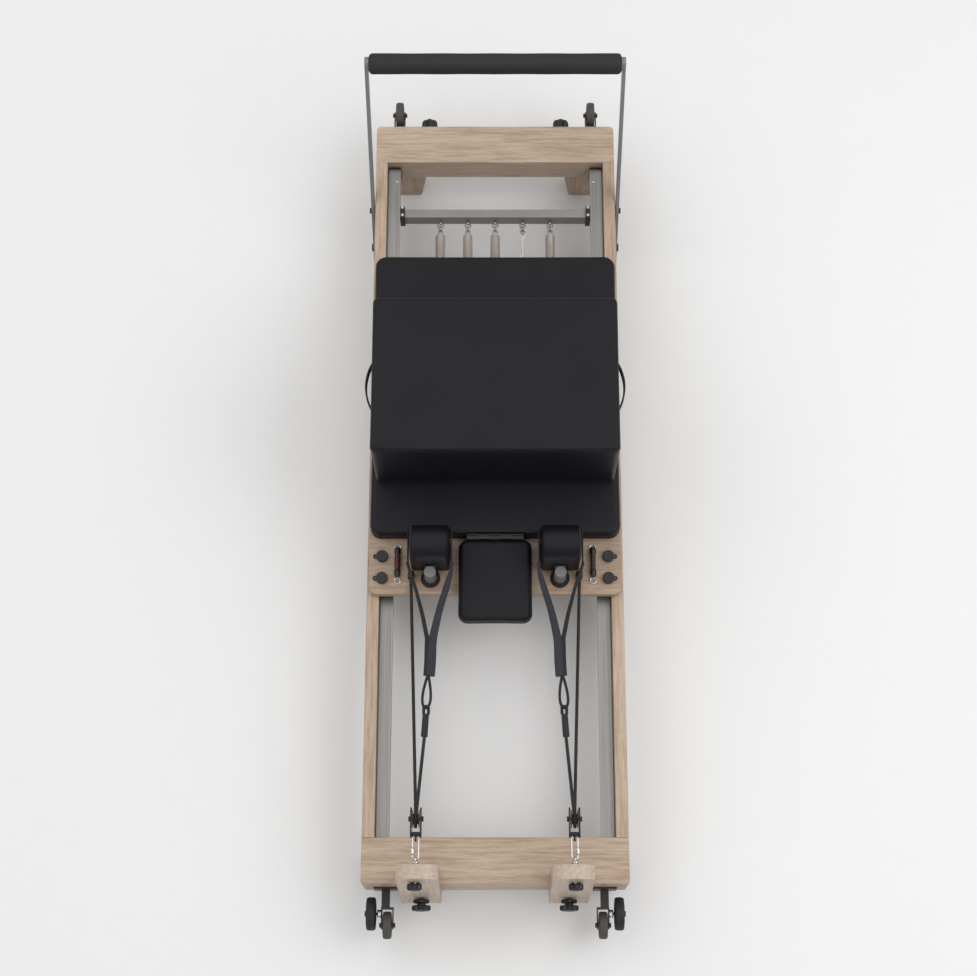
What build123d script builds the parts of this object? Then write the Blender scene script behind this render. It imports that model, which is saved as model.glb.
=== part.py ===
from build123d import *
import math
import os

# A pilates reformer: a wooden bed frame with aluminium tracks, a sprung carriage that rolls on them, a footbar,
# two riser posts with rope pulleys, shoulder rests, a headrest and a loose sitting box.
# X runs across the bed, Y from the head end to the foot end, Z up. The origin is on the floor, under the middle
# of the whole machine.

# Driving dimensions, millimetres.
FRAME_LENGTH = 2300.0
FRAME_WIDTH = 730.0
FRAME_TOP = 240.0
BOARD_THICKNESS = 35.0
BOARD_HEIGHT = 172.0
BEAM_WIDTH = 124.0
BEAM_HEIGHT = 96.0
APRON_THICKNESS = 36.0
LEG_DEPTH = 60.0
PAD_HEIGHT = 6.0

TRACK_DROP = 30.0
TRACK_WIDTH = 36.0
TRACK_GAP = 3.0
SPRING_BAR_Y = 277.5
SPRING_DROP = 63.0
SPRING_RADIUS = 15.5
SPRING_PITCH = 84.0
LIGHT_SPRING = 3

CARRIAGE_Y = 333.0
PLATFORM_WIDTH = 717.0
PLATFORM_RISE = 6.0
PLATFORM_THICKNESS = 24.0
PLATFORM_REACH = 163.0
CARRIAGE_PAD_WIDTH = 708.0
CARRIAGE_PAD_LENGTH = 862.0
CARRIAGE_PAD_THICKNESS = 52.0
ROLLER_RADIUS = 16.0
SHOULDER_X = 183.0
SHOULDER_WIDTH = 115.0
SHOULDER_DEPTH = 95.0
SHOULDER_HEIGHT = 187.0
HEADREST_WIDTH = 206.0
HEADREST_LENGTH = 237.0
HEADREST_GAP = 15.0
BOX_WIDTH = 678.0
BOX_LENGTH = 450.0
BOX_HEIGHT = 294.0
BOX_WALL = 14.0

RISER_X = 204.5
RISER_WIDTH = 110.0
RISER_RISE = 234.0
RISER_LAP = 26.0
RISER_FOOT = 36.0
RISER_TIP = 11.0
PULLEY_X = 210.0
PULLEY_FROM_HEAD = 152.0
PULLEY_RISE = 160.0
SHEAVE_RADIUS = 24.0
ROPE_RADIUS = 4.5
ROPE_TURN_RADIUS = 19.5

FOOTBAR_LENGTH = 732.0
FOOTBAR_RADIUS = 30.0
FOOTBAR_TUBE_RADIUS = 19.0
ARM_THICKNESS = 10.0
ARM_WIDTH = 32.0
PIVOT_FROM_FOOT = 340.0
PIVOT_DROP = 150.0
FOOTBAR_RUN = 333.0
FOOTBAR_CLIMB = 529.0
LOCK_RADIUS = 133.0

CASTER_WHEEL_WIDTH = 25.0
HEAD_CASTER_RADIUS = 37.0
HEAD_CASTER_REACH = 101.0
FOOT_CASTER_RADIUS = 40.0
FOOT_CASTER_REACH = 64.0
CASTER_X = 297.0

RUNNING_GAP = 0.05
CLEAR_GAP = 0.5
STUD_RADIUS = 5.0
AXLE_RADIUS = 4.0

# Places that follow from them.
HEAD = -(FRAME_LENGTH + FOOT_CASTER_REACH + FOOT_CASTER_RADIUS - HEAD_CASTER_REACH - HEAD_CASTER_RADIUS) / 2
FOOT = HEAD + FRAME_LENGTH
HALF_WIDTH = FRAME_WIDTH / 2
BOARD_INSIDE = HALF_WIDTH - BOARD_THICKNESS
BOARD_BOTTOM = FRAME_TOP - BOARD_HEIGHT
BEAM_BOTTOM = FRAME_TOP - BEAM_HEIGHT
TRACK_TOP = FRAME_TOP - TRACK_DROP
TRACK_OUTSIDE = BOARD_INSIDE - TRACK_GAP
TRACK_INSIDE = TRACK_OUTSIDE - TRACK_WIDTH
TRACK_END = FOOT - BEAM_WIDTH - 9
SPRING_Z = FRAME_TOP - SPRING_DROP
PLATFORM_BOTTOM = FRAME_TOP + PLATFORM_RISE
PLATFORM_TOP = PLATFORM_BOTTOM + PLATFORM_THICKNESS
PAD_NEAR = CARRIAGE_Y - 503
PAD_FAR = PAD_NEAR + CARRIAGE_PAD_LENGTH
PAD_TOP = PLATFORM_TOP + CARRIAGE_PAD_THICKNESS
PLATFORM_NEAR = PAD_NEAR - PLATFORM_REACH
STOP_Y = PAD_FAR - 29
PULLEY_Y = HEAD + PULLEY_FROM_HEAD
PULLEY_Z = FRAME_TOP + PULLEY_RISE
PIVOT_Y = FOOT - PIVOT_FROM_FOOT
PIVOT_Z = FRAME_TOP - PIVOT_DROP
FOOTBAR_Y = PIVOT_Y + FOOTBAR_RUN
FOOTBAR_Z = PIVOT_Z + FOOTBAR_CLIMB
ARM_ANGLE = math.degrees(math.atan2(FOOTBAR_CLIMB, FOOTBAR_RUN))
ARM_LENGTH = math.hypot(FOOTBAR_CLIMB, FOOTBAR_RUN)
QUADRANT_THICKNESS = 2.5
ARM_INSIDE = HALF_WIDTH + QUADRANT_THICKNESS + CLEAR_GAP
ARM_OUTSIDE = ARM_INSIDE + ARM_THICKNESS


def block(x, y, z):
    """A box from its (low, high) pair on each axis."""
    ranges = (x, y, z)
    middle = [(low + high) / 2 for low, high in ranges]
    return Pos(*middle) * Box(*[high - low for low, high in ranges])


def rod_x(x, y, z, radius):
    return Pos((x[0] + x[1]) / 2, y, z) * Rot(0, 90, 0) * Cylinder(radius, x[1] - x[0])


def rod_y(x, y, z, radius):
    return Pos(x, (y[0] + y[1]) / 2, z) * Rot(90, 0, 0) * Cylinder(radius, y[1] - y[0])


def rod_z(x, y, z, radius):
    return Pos(x, y, (z[0] + z[1]) / 2) * Cylinder(radius, z[1] - z[0])


def cushion(x, y, z, corner, edge):
    """A pad with rounded plan corners and softly rounded top and bottom edges."""
    pad = block(x, y, z)
    pad = fillet(pad.edges().filter_by(Axis.Z), corner)
    rims = pad.faces().sort_by(Axis.Z)[-1].edges() + pad.faces().sort_by(Axis.Z)[0].edges()
    return fillet(rims, edge)


def star_knob(radius, thickness, lobes=6):
    """A lobed hand knob that stands on the XY plane, with a raised cap."""
    lobe = radius * 0.3
    body = Pos(0, 0, thickness / 2) * Cylinder(radius - lobe, thickness)
    for i in range(lobes):
        turn = Rot(0, 0, i * 360 / lobes)
        body += turn * Pos(radius - lobe, 0, thickness / 2 - 1) * Cylinder(lobe, thickness - 2)
    return body


def group(*pieces):
    """Several separate solids as one node."""
    return Compound([solid for piece in pieces for solid in piece.solids()])


def left(shape):
    return mirror(shape, about=Plane.YZ)


def both(shape):
    return group(shape, left(shape))


# ---- bed frame ----

def side_board():
    board = block((BOARD_INSIDE, HALF_WIDTH), (HEAD + BEAM_WIDTH, FOOT - BEAM_WIDTH), (BOARD_BOTTOM, FRAME_TOP))
    board = fillet(board.edges().filter_by(Axis.Y), 2.5)
    return board - rod_x((BOARD_INSIDE - 1, HALF_WIDTH + 1), PIVOT_Y, PIVOT_Z, PIVOT_BOLT_RADIUS + CLEAR_GAP / 5)


def end_beam(outer, inward, corner):
    """A cross beam from its outer face; inward is +1 or -1 along Y."""
    y = sorted((outer, outer + inward * BEAM_WIDTH))
    beam = block((-HALF_WIDTH, HALF_WIDTH), y, (BEAM_BOTTOM, FRAME_TOP))
    ends = beam.edges().filter_by(Axis.Z)
    beam = fillet(ends.sort_by(Axis.Y)[:2] if inward > 0 else ends.sort_by(Axis.Y)[-2:], corner)
    return fillet(beam.faces().sort_by(Axis.Z)[-1].edges(), 2.5)


def head_end():
    """The head end's beam with an apron below its outer face, as deep as the side boards."""
    drop = block((-HALF_WIDTH, HALF_WIDTH), (HEAD, HEAD + APRON_THICKNESS), (BOARD_BOTTOM, BEAM_BOTTOM))
    drop = fillet(drop.edges().filter_by(Axis.Z).sort_by(Axis.Y)[:2], 5)
    return end_beam(HEAD, 1, 5) + drop


def leg(y):
    """A board leg under an end beam, tapered on its inner edge."""
    outline = Polyline((213, BEAM_BOTTOM), (345, BEAM_BOTTOM), (345, PAD_HEIGHT), (234, PAD_HEIGHT), close=True)
    face = make_face(Plane.XZ * outline)
    return extrude(Pos(0, y[0], 0) * face, LEG_DEPTH, dir=(0, 1, 0))


LEG_SETBACK = 10.0
HEAD_LEG_Y = (HEAD + BEAM_WIDTH - LEG_SETBACK - LEG_DEPTH, HEAD + BEAM_WIDTH - LEG_SETBACK)
FOOT_LEG_Y = (FOOT - BEAM_WIDTH + LEG_SETBACK, FOOT - BEAM_WIDTH + LEG_SETBACK + LEG_DEPTH)


def foot_pad(leg_y):
    pad = block((242, 337), (leg_y[0] + 6, leg_y[1] - 6), (0, PAD_HEIGHT))
    return fillet(pad.edges().filter_by(Axis.Z), 5)


# ---- tracks ----

def track():
    """An aluminium channel: a grooved running top, a web against the board and a lower flange."""
    skin = 6.0
    top = block((TRACK_INSIDE, TRACK_OUTSIDE), (HEAD + BEAM_WIDTH, TRACK_END), (TRACK_TOP - skin, TRACK_TOP))
    lip = block((TRACK_INSIDE, TRACK_INSIDE + 4), (HEAD + BEAM_WIDTH, TRACK_END), (TRACK_TOP - 20, TRACK_TOP - skin))
    web = block((TRACK_OUTSIDE - 6, TRACK_OUTSIDE), (HEAD + BEAM_WIDTH, TRACK_END), (TRACK_TOP - 60, TRACK_TOP - skin))
    foot = block((TRACK_OUTSIDE, BOARD_INSIDE), (HEAD + BEAM_WIDTH, TRACK_END), (TRACK_TOP - 60, TRACK_TOP - 16))
    flange = block((TRACK_OUTSIDE - 26, TRACK_OUTSIDE - 6), (HEAD + BEAM_WIDTH, TRACK_END), (TRACK_TOP - 60, TRACK_TOP - 55))
    rail = top + lip + web + foot + flange
    for groove in (8.0, 14.0):
        x = TRACK_INSIDE + groove
        rail -= block((x - 0.8, x + 0.8), (HEAD, FOOT), (TRACK_TOP - 1.5, TRACK_TOP + 1))
    for y in TRACK_SCREW_Y:
        rail -= rod_z(TRACK_SCREW_X, y, (TRACK_TOP - skin - 1, TRACK_TOP + 1), SCREW_RADIUS + RUNNING_GAP)
    return rail


SCREW_RADIUS = 2.5
TRACK_SCREW_X = TRACK_INSIDE + 11
TRACK_SCREW_Y = (CARRIAGE_Y - 60, FOOT - BEAM_WIDTH - 52)


def track_screw(y):
    shank = rod_z(TRACK_SCREW_X, y, (TRACK_TOP - 12, TRACK_TOP), SCREW_RADIUS)
    head = rod_z(TRACK_SCREW_X, y, (TRACK_TOP, TRACK_TOP + 1.2), 4.5)
    return shank + fillet(head.faces().sort_by(Axis.Z)[-1].edges(), 0.8)


def frame_screws():
    """The screws that hold the tracks, and the bolts that hold the spring bar's brackets."""
    screws = [both(track_screw(y)) for y in TRACK_SCREW_Y]
    bolts = [both(spring_bar_bolt(y)) for y in (SPRING_BAR[0] + 3, SPRING_BAR[1] + 1)]
    return group(*screws, *bolts)


def track_end_cap():
    return block((TRACK_INSIDE, BOARD_INSIDE), (TRACK_END, TRACK_END + 5), (TRACK_TOP - 60, TRACK_TOP + 2))


def track_stop():
    stop = block((TRACK_INSIDE + 4, TRACK_OUTSIDE - 4), (STOP_Y, STOP_Y + 16), (TRACK_TOP, TRACK_TOP + 24))
    return fillet(stop.edges().filter_by(Axis.X), 3)


# ---- spring bar and springs ----

SPRING_BAR = (SPRING_BAR_Y + 598.5, SPRING_BAR_Y + 625.5)
SPRING_BAR_Z = (FRAME_TOP - 86, FRAME_TOP - 40)
SPRING_BAR_END = TRACK_INSIDE - 14
ANCHOR_Y = CARRIAGE_Y - 66


def spring_bar():
    bar = block((-SPRING_BAR_END, SPRING_BAR_END), SPRING_BAR, SPRING_BAR_Z)
    return fillet(bar.edges().filter_by(Axis.X), 2)


def spring_bar_bracket():
    x = (SPRING_BAR_END, TRACK_INSIDE)
    plate = block(x, (SPRING_BAR[0] - 6, SPRING_BAR[1] + 8), (SPRING_BAR_Z[0] - 4, TRACK_TOP - 2))
    return fillet(plate.edges().filter_by(Axis.X), 4)


def spring_bar_bolt(y):
    bolt = rod_z(SPRING_BAR_END + 7, y, (TRACK_TOP - 2, TRACK_TOP + 3), 5)
    return chamfer(bolt.faces().sort_by(Axis.Z)[-1].edges(), 1)


def spring_x(i):
    return (i - 2) * SPRING_PITCH


def spring_hook(i):
    """A ball stud on the bar, with two chained rings between it and a spring."""
    ball = Pos(spring_x(i), SPRING_BAR[0] - 8, SPRING_Z) * Sphere(5)
    stud = rod_y(spring_x(i), (SPRING_BAR[0] - 8, SPRING_BAR[0]), SPRING_Z, 2.5) + ball
    near = Pos(spring_x(i), SPRING_BAR[0] - 20.6, SPRING_Z) * Torus(6, 1.5)
    far = Pos(spring_x(i), SPRING_BAR[0] - 34.4, SPRING_Z) * Rot(0, 90, 0) * Torus(6, 1.5)
    return group(stud, near, far)


def tension_spring(i):
    """The outer shape of a closed coil spring, with a tapered end at each side."""
    ends = (ANCHOR_Y + 4, SPRING_BAR[0] - 42)
    body = rod_y(spring_x(i), (ends[0] + 14, ends[1] - 10), SPRING_Z, SPRING_RADIUS)
    taper_far = Pos(spring_x(i), ends[1] - 5, SPRING_Z) * Rot(-90, 0, 0) * Cone(SPRING_RADIUS, 8, 10)
    taper_near = Pos(spring_x(i), ends[0] + 7, SPRING_Z) * Rot(90, 0, 0) * Cone(SPRING_RADIUS, 5, 14)
    return body + taper_far + taper_near


def light_spring():
    """The lightest spring hangs on a long wire link with a ring at each end."""
    x = spring_x(LIGHT_SPRING)
    link_end = SPRING_BAR[0] - 42
    link = rod_y(x, (link_end - 78, link_end - 14), SPRING_Z, 1.6)
    rings = Pos(x, link_end - 9.2, SPRING_Z) * Torus(7, 1.6) + Pos(x, link_end - 85, SPRING_Z) * Torus(8, 1.8)
    coil = rod_y(x, (ANCHOR_Y + 4, link_end - 92), SPRING_Z, 11)
    return link + rings + coil


# ---- carriage ----

RAIL_X = (TRACK_INSIDE - 33, TRACK_INSIDE - 9)
CHASSIS_Z = (FRAME_TOP - 40, PLATFORM_BOTTOM)
CHASSIS_Y = (PLATFORM_NEAR + 30, PAD_FAR - 40)
ROLLER_Y = (CHASSIS_Y[0] + 30, CHASSIS_Y[1] - 20)
ROLLER_Z = TRACK_TOP + ROLLER_RADIUS + 0.3
ROLLER_X = (TRACK_OUTSIDE - 20, TRACK_OUTSIDE - 4)


def platform():
    y = (PLATFORM_NEAR, PAD_FAR - 8)
    half = PLATFORM_WIDTH / 2
    board = block((-half, half), y, (PLATFORM_BOTTOM, PLATFORM_TOP))
    board = fillet(board.edges().filter_by(Axis.Z), 25)
    board = fillet(board.faces().sort_by(Axis.Z)[-1].edges(), 3)
    for side in (-1, 1):
        board -= rod_z(side * SHOULDER_X, POST_Y, (PLATFORM_BOTTOM - 1, PLATFORM_TOP + 1), POST_RADIUS + CLEAR_GAP / 5)
    return board


def chassis_rail():
    """A side rail of the carriage, with a lug at its foot end that meets the track's stop."""
    rail = block(RAIL_X, CHASSIS_Y, CHASSIS_Z)
    stop = STOP_Y - CLEAR_GAP
    rail += block((RAIL_X[0], TRACK_OUTSIDE - 8), (stop - 10, stop), (TRACK_TOP + 8, PLATFORM_BOTTOM))
    for y in ROLLER_Y:
        rail -= rod_x((RAIL_X[0] - 1, RAIL_X[1] + 1), y, ROLLER_Z, AXLE_RADIUS + CLEAR_GAP / 5)
    return rail


def crossbar(y):
    return block((-RAIL_X[0], RAIL_X[0]), y, CHASSIS_Z)


def crossbars():
    return group(
        crossbar((CHASSIS_Y[0], CHASSIS_Y[0] + 40)),
        crossbar((ANCHOR_Y, ANCHOR_Y + 40)),
        crossbar((CHASSIS_Y[1] - 40, CHASSIS_Y[1])),
    )


def spring_anchor():
    """The plate under the carriage that the springs pull on."""
    plate = block((-205, 205), (ANCHOR_Y - 6, ANCHOR_Y), (SPRING_Z - 22, PLATFORM_BOTTOM))
    for i in range(5):
        plate -= rod_y(spring_x(i), (ANCHOR_Y - 7, ANCHOR_Y + 1), SPRING_Z, 4)
    return plate


def roller_axle(y):
    stub = rod_x((RAIL_X[0], ROLLER_X[1] + 2), y, ROLLER_Z, AXLE_RADIUS)
    return stub + rod_x((ROLLER_X[1] + 0.5, ROLLER_X[1] + 3), y, ROLLER_Z, 7)


def roller(y):
    wheel = rod_x(ROLLER_X, y, ROLLER_Z, ROLLER_RADIUS)
    wheel = chamfer(wheel.edges().filter_by(GeomType.CIRCLE), 1)
    return wheel - rod_x((ROLLER_X[0] - 1, ROLLER_X[1] + 1), y, ROLLER_Z, AXLE_RADIUS + RUNNING_GAP)


POST_RADIUS = 17.0
POST_Y = PAD_NEAR - 117
REST_Y = (PAD_NEAR - 3 - SHOULDER_DEPTH, PAD_NEAR - 3)


def shoulder_post():
    post = rod_z(SHOULDER_X, POST_Y, (PLATFORM_BOTTOM, PLATFORM_TOP + 76), POST_RADIUS)
    return fillet(post.faces().sort_by(Axis.Z)[-1].edges(), 2.5)


def post_collar():
    ring = rod_z(SHOULDER_X, POST_Y, (PLATFORM_TOP, PLATFORM_TOP + 9), 27.5)
    ring = chamfer(ring.faces().sort_by(Axis.Z)[-1].edges(), 3)
    return ring - rod_z(SHOULDER_X, POST_Y, (PLATFORM_TOP - 1, PLATFORM_TOP + 10), POST_RADIUS + CLEAR_GAP / 5)


def shoulder_bracket():
    """A steel strap from the post's front to the back board of the shoulder pad."""
    y = (POST_Y + POST_RADIUS, REST_Y[0])
    plate = block((SHOULDER_X - 15, SHOULDER_X + 15), y, (PLATFORM_TOP + 14, PLATFORM_TOP + 64))
    return plate


def shoulder_pad():
    x = (SHOULDER_X - SHOULDER_WIDTH / 2, SHOULDER_X + SHOULDER_WIDTH / 2)
    radius = SHOULDER_DEPTH / 2
    lower = block(x, REST_Y, (PLATFORM_TOP + 10, PLATFORM_TOP + SHOULDER_HEIGHT - radius))
    crown = rod_x(x, REST_Y[0] + radius, PLATFORM_TOP + SHOULDER_HEIGHT - radius, radius)
    pad = lower + crown
    sides = pad.faces().sort_by(Axis.X)
    return fillet(sides[0].edges() + sides[-1].edges(), 6)


def strap_loop():
    """The part of the hand loop that goes round the shoulder pad."""
    gap, thick = 1.0, 4.0
    x = (SHOULDER_X - SHOULDER_WIDTH / 2, SHOULDER_X + SHOULDER_WIDTH / 2)
    z = (PLATFORM_TOP + 84, PLATFORM_TOP + 112)
    y = (STRAP_END_Y + 3, REST_Y[1] + gap + thick)
    outer = block((x[0] - gap - thick, x[1] + gap + thick), y, z)
    outer = fillet(outer.edges().filter_by(Axis.Z).sort_by(Axis.Y)[-2:], 10)
    return outer - block((x[0] - gap, x[1] + gap), (y[0] - 1, REST_Y[1] + gap), (z[0] - 1, z[1] + 1))


STRAP_END_Y = REST_Y[0] - 2
STRAP_THICKNESS = 8.0


def bar_between(start, end, width, depth):
    """A straight bar from start to end, with its width level."""
    run = Vector(*end) - Vector(*start)
    level = Vector(0, 0, 1).cross(run).normalized()
    plane = Plane(origin=(Vector(*start) + Vector(*end)) * 0.5, x_dir=level, z_dir=run.normalized())
    return plane * Box(width, depth, run.length)


def strap_strands():
    """The padded hand loop between its rope and the shoulder pad, drawn straight by the rope."""
    half = SHOULDER_WIDTH / 2 + 6
    pad_z = PLATFORM_TOP + 98
    fork = (178, HEAD + 655, FRAME_TOP + 144)
    sewn = bar_between((181, HEAD + 528, FRAME_TOP + 153), fork, 30, 12)
    inner = bar_between(fork, (SHOULDER_X - half, STRAP_END_Y, pad_z), STRAP_THICKNESS, 24)
    outer = bar_between(fork, (SHOULDER_X + half, STRAP_END_Y, pad_z), STRAP_THICKNESS, 24)
    return sewn + inner + outer


def rope_eye():
    """The rope's spliced eye with its sleeve, and the webbing ring that joins it to the hand loop."""
    sleeve = bar_between((190, HEAD + 372, FRAME_TOP + 165), (185, HEAD + 462, FRAME_TOP + 158), 17, 10)
    ring = bar_between((185, HEAD + 458, FRAME_TOP + 158), (181, HEAD + 530, FRAME_TOP + 153), 24, 7)
    return sleeve + ring


# The ropes' routes are chosen by hand, from the carriage round the pulley to the eye, on the +X side.
ROPE_ROUTE = [
    (238.0, -290.0, 284.0),
    (210.5, -1001.0, 380.0),
    (211.5, -1001.0, 420.0),
    (190.0, -762.0, 405.0),
]


def rope():
    """A taut rope: straight runs with the pulley's radius at its two turns."""
    path = FilletPolyline(*ROPE_ROUTE, radius=ROPE_TURN_RADIUS)
    tube = sweep(Plane(origin=path @ 0, z_dir=path % 0) * Circle(ROPE_RADIUS), path=path)
    print("rope length", round(path.length, 1), "volume ratio", tube.volume / (path.length * math.pi * ROPE_RADIUS**2))
    return tube


def rope_fairlead():
    """The guide block on the carriage that holds the rope's end."""
    x, y, z = ROPE_ROUTE[0]
    body = block((x - 9, x + 9), (y + 0.8, y + 20), (PLATFORM_TOP, PLATFORM_TOP + 24))
    return fillet(body.edges().filter_by(Axis.Y).sort_by(Axis.Z)[-2:], 6)


def platform_knob(x, y):
    """A round black cap with a small retaining ring at its outer side."""
    cap = rod_z(x, y, (PLATFORM_TOP, PLATFORM_TOP + 14), 16.5)
    cap = fillet(cap.faces().sort_by(Axis.Z)[-1].edges(), 2)
    return cap + Pos(x + 19, y, PLATFORM_TOP + 4) * Torus(5, 1.8)


def rope_cleat():
    """A jam cleat bar that stands on two feet."""
    x = CLEAT_X
    bar = block((x - 7, x + 7), (CLEAT_Y[0] + 10, CLEAT_Y[1] - 6), (PLATFORM_TOP + 6, PLATFORM_TOP + 20))
    bar = fillet(bar.edges().filter_by(Axis.Y), 5)
    feet = [rod_z(x, y, (PLATFORM_TOP, PLATFORM_TOP + 8), 6) for y in (CLEAT_Y[0] + 22, CLEAT_Y[1] - 18)]
    return bar + feet


def cleat_grommets():
    rings = [Pos(CLEAT_X, y, PLATFORM_TOP + 2) * Torus(8, 2) for y in CLEAT_Y]
    return group(*rings)


CLEAT_X = 277.0
CLEAT_Y = (POST_Y - 7, POST_Y + 91)
KNOB_SPOTS = [(321.0, POST_Y), (321.0, POST_Y + 64)]


# ---- headrest ----

HINGE_Y = PAD_NEAR - 2.5
HINGE_Z = PLATFORM_TOP + 52
KNUCKLE_RADIUS = 2.2
LEAF_HALF = 80.0


def headrest_board():
    y = (PAD_NEAR - HEADREST_GAP - HEADREST_LENGTH + 6, PAD_NEAR - HEADREST_GAP - 2)
    half = HEADREST_WIDTH / 2 - 8
    board = block((-half, half), y, (PLATFORM_TOP + 0.3, PLATFORM_TOP + 12))
    return fillet(board.edges().filter_by(Axis.Z), 14)


def headrest_pad():
    y = (PAD_NEAR - HEADREST_GAP - HEADREST_LENGTH, PAD_NEAR - HEADREST_GAP)
    half = HEADREST_WIDTH / 2
    return cushion((-half, half), y, (PLATFORM_TOP + 12, PLATFORM_TOP + 58), 18, 8)


def knuckles(spans):
    return [rod_x(span, HINGE_Y, HINGE_Z, KNUCKLE_RADIUS) for span in spans]


def hinge_spans(first):
    """Five knuckles along the hinge; first is 0 for the fixed leaf and 1 for the moving leaf."""
    step = 2 * LEAF_HALF / 5
    return [(-LEAF_HALF + i * step + 0.25, -LEAF_HALF + (i + 1) * step - 0.25) for i in range(first, 5, 2)]


def hinge_leaf(y, first):
    """A leaf whose tongues reach only its own knuckles."""
    plate = block((-LEAF_HALF, LEAF_HALF), y, (PLATFORM_TOP + 14, HINGE_Z - KNUCKLE_RADIUS - 1))
    for span in hinge_spans(first):
        plate += block(span, y, (HINGE_Z - KNUCKLE_RADIUS - 1, HINGE_Z))
    return plate


def carriage_hinge():
    leaf = hinge_leaf((PAD_NEAR - 1.2, PAD_NEAR), 0)
    pin = rod_x((-LEAF_HALF + 0.25, LEAF_HALF - 0.25), HINGE_Y, HINGE_Z, 1.2)
    for ring in knuckles(hinge_spans(0)):
        leaf += ring
    return leaf + pin


def headrest_hinge():
    leaf = hinge_leaf((PAD_NEAR - HEADREST_GAP, PAD_NEAR - 3.8), 1)
    for ring in knuckles(hinge_spans(1)):
        leaf += ring
    return leaf - rod_x((-LEAF_HALF, LEAF_HALF), HINGE_Y, HINGE_Z, 1.2 + RUNNING_GAP)


# ---- sitting box ----

BOX_Y = (PAD_NEAR + 150, PAD_NEAR + 150 + BOX_LENGTH)
BOX_Z = (PAD_TOP + CLEAR_GAP, PAD_TOP + CLEAR_GAP + BOX_HEIGHT)


def box_cover():
    """The padded cover, a closed shell round the panels."""
    half = BOX_WIDTH / 2
    skin = block((-half, half), BOX_Y, BOX_Z)
    skin = fillet(skin.edges(), 10)
    return skin - box_inside(BOX_WALL)


def box_inside(wall):
    half = BOX_WIDTH / 2 - wall
    return block((-half, half), (BOX_Y[0] + wall, BOX_Y[1] - wall), (BOX_Z[0] + wall, BOX_Z[1] - wall))


def box_panels():
    return box_inside(BOX_WALL) - box_inside(BOX_WALL + 9)


HANDLE_Z = (PAD_TOP + 118, PAD_TOP + 143)
HANDLE_BULGE = 28.0


def box_handle():
    """A webbing loop that bows out from the box's end."""
    side = BOX_WIDTH / 2
    middle = (BOX_Y[0] + BOX_Y[1]) / 2 + 17
    outer = ThreePointArc((side, middle - 85, 0), (side + HANDLE_BULGE, middle, 0), (side, middle + 85, 0))
    inner = ThreePointArc((side, middle + 79, 0), (side + HANDLE_BULGE - 5, middle, 0), (side, middle - 79, 0))
    face = make_face(outer + Line(outer @ 1, inner @ 0) + inner + Line(inner @ 1, outer @ 0))
    return Pos(0, 0, HANDLE_Z[0]) * extrude(face, HANDLE_Z[1] - HANDLE_Z[0])


# ---- risers and pulleys ----

CLAMP_Z = FRAME_TOP - 90
EYE_Z = FRAME_TOP + 165


def riser_front(z):
    """The Y of the riser's leaning front face at a height."""
    share = (z - BOARD_BOTTOM) / (FRAME_TOP + RISER_RISE - BOARD_BOTTOM)
    return HEAD - RISER_FOOT + (RISER_FOOT - RISER_TIP) * share


def riser():
    """A wooden post that laps over the head end and leans back a little."""
    top = FRAME_TOP + RISER_RISE
    profile = Polyline(
        (HEAD, BOARD_BOTTOM),
        (HEAD - RISER_FOOT, BOARD_BOTTOM),
        (HEAD - RISER_TIP, top),
        (HEAD + RISER_LAP, top),
        (HEAD + RISER_LAP, FRAME_TOP),
        (HEAD, FRAME_TOP),
        close=True,
    )
    half = RISER_WIDTH / 2
    post = extrude(Pos(RISER_X - half, 0, 0) * make_face(Plane.YZ * profile), RISER_WIDTH, dir=(1, 0, 0))
    crown = RISER_WIDTH * 0.75
    arch = Pos(RISER_X, 0, top - crown) * Rot(90, 0, 0) * Cylinder(crown, 400)
    lower = block((RISER_X - half, RISER_X + half), (HEAD - 60, HEAD + 60), (BOARD_BOTTOM, top - crown * 0.66))
    post = post & (Pos(0, HEAD, 0) * arch + lower)
    for x, z in ((CLAMP_X, CLAMP_Z), (PULLEY_X, EYE_Z)):
        post -= rod_y(x, (HEAD - 60, HEAD + 60), z, STUD_RADIUS + RUNNING_GAP)
    return post


CLAMP_X = 203.0


def clamp_knob():
    """The riser's lower knob: a lobed flange nut, a neck and a larger star grip, on a stud into the frame."""
    face = riser_front(CLAMP_Z - 26) - CLEAR_GAP
    flange = Pos(CLAMP_X, face, CLAMP_Z) * Rot(90, 0, 0) * star_knob(21, 12, 4)
    neck = rod_y(CLAMP_X, (face - 20, face - 12), CLAMP_Z, 13)
    grip = Pos(CLAMP_X, face - 16, CLAMP_Z) * Rot(90, 0, 0) * star_knob(26, 16, 8)
    stud = rod_y(CLAMP_X, (face, HEAD + 24), CLAMP_Z, STUD_RADIUS)
    return flange + neck + grip + stud


def pulley_knob():
    """The star nut on the front end of the eye bolt."""
    face = riser_front(EYE_Z - 21) - CLEAR_GAP
    grip = Pos(PULLEY_X, face, EYE_Z) * Rot(90, 0, 0) * star_knob(21, 18, 5)
    bore = rod_y(PULLEY_X, (face - 14, face + 1), EYE_Z, STUD_RADIUS + RUNNING_GAP)
    return grip - bore


def eye_bolt():
    shank = rod_y(PULLEY_X, (HEAD - 29, HEAD + RISER_LAP + 6), EYE_Z, STUD_RADIUS)
    washer = rod_y(PULLEY_X, (HEAD + RISER_LAP, HEAD + RISER_LAP + 6), EYE_Z, 11)
    eye = Pos(PULLEY_X, HEAD + RISER_LAP + 16, EYE_Z) * Rot(0, 90, 0) * Torus(10, 3)
    return shank + washer + eye


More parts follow.
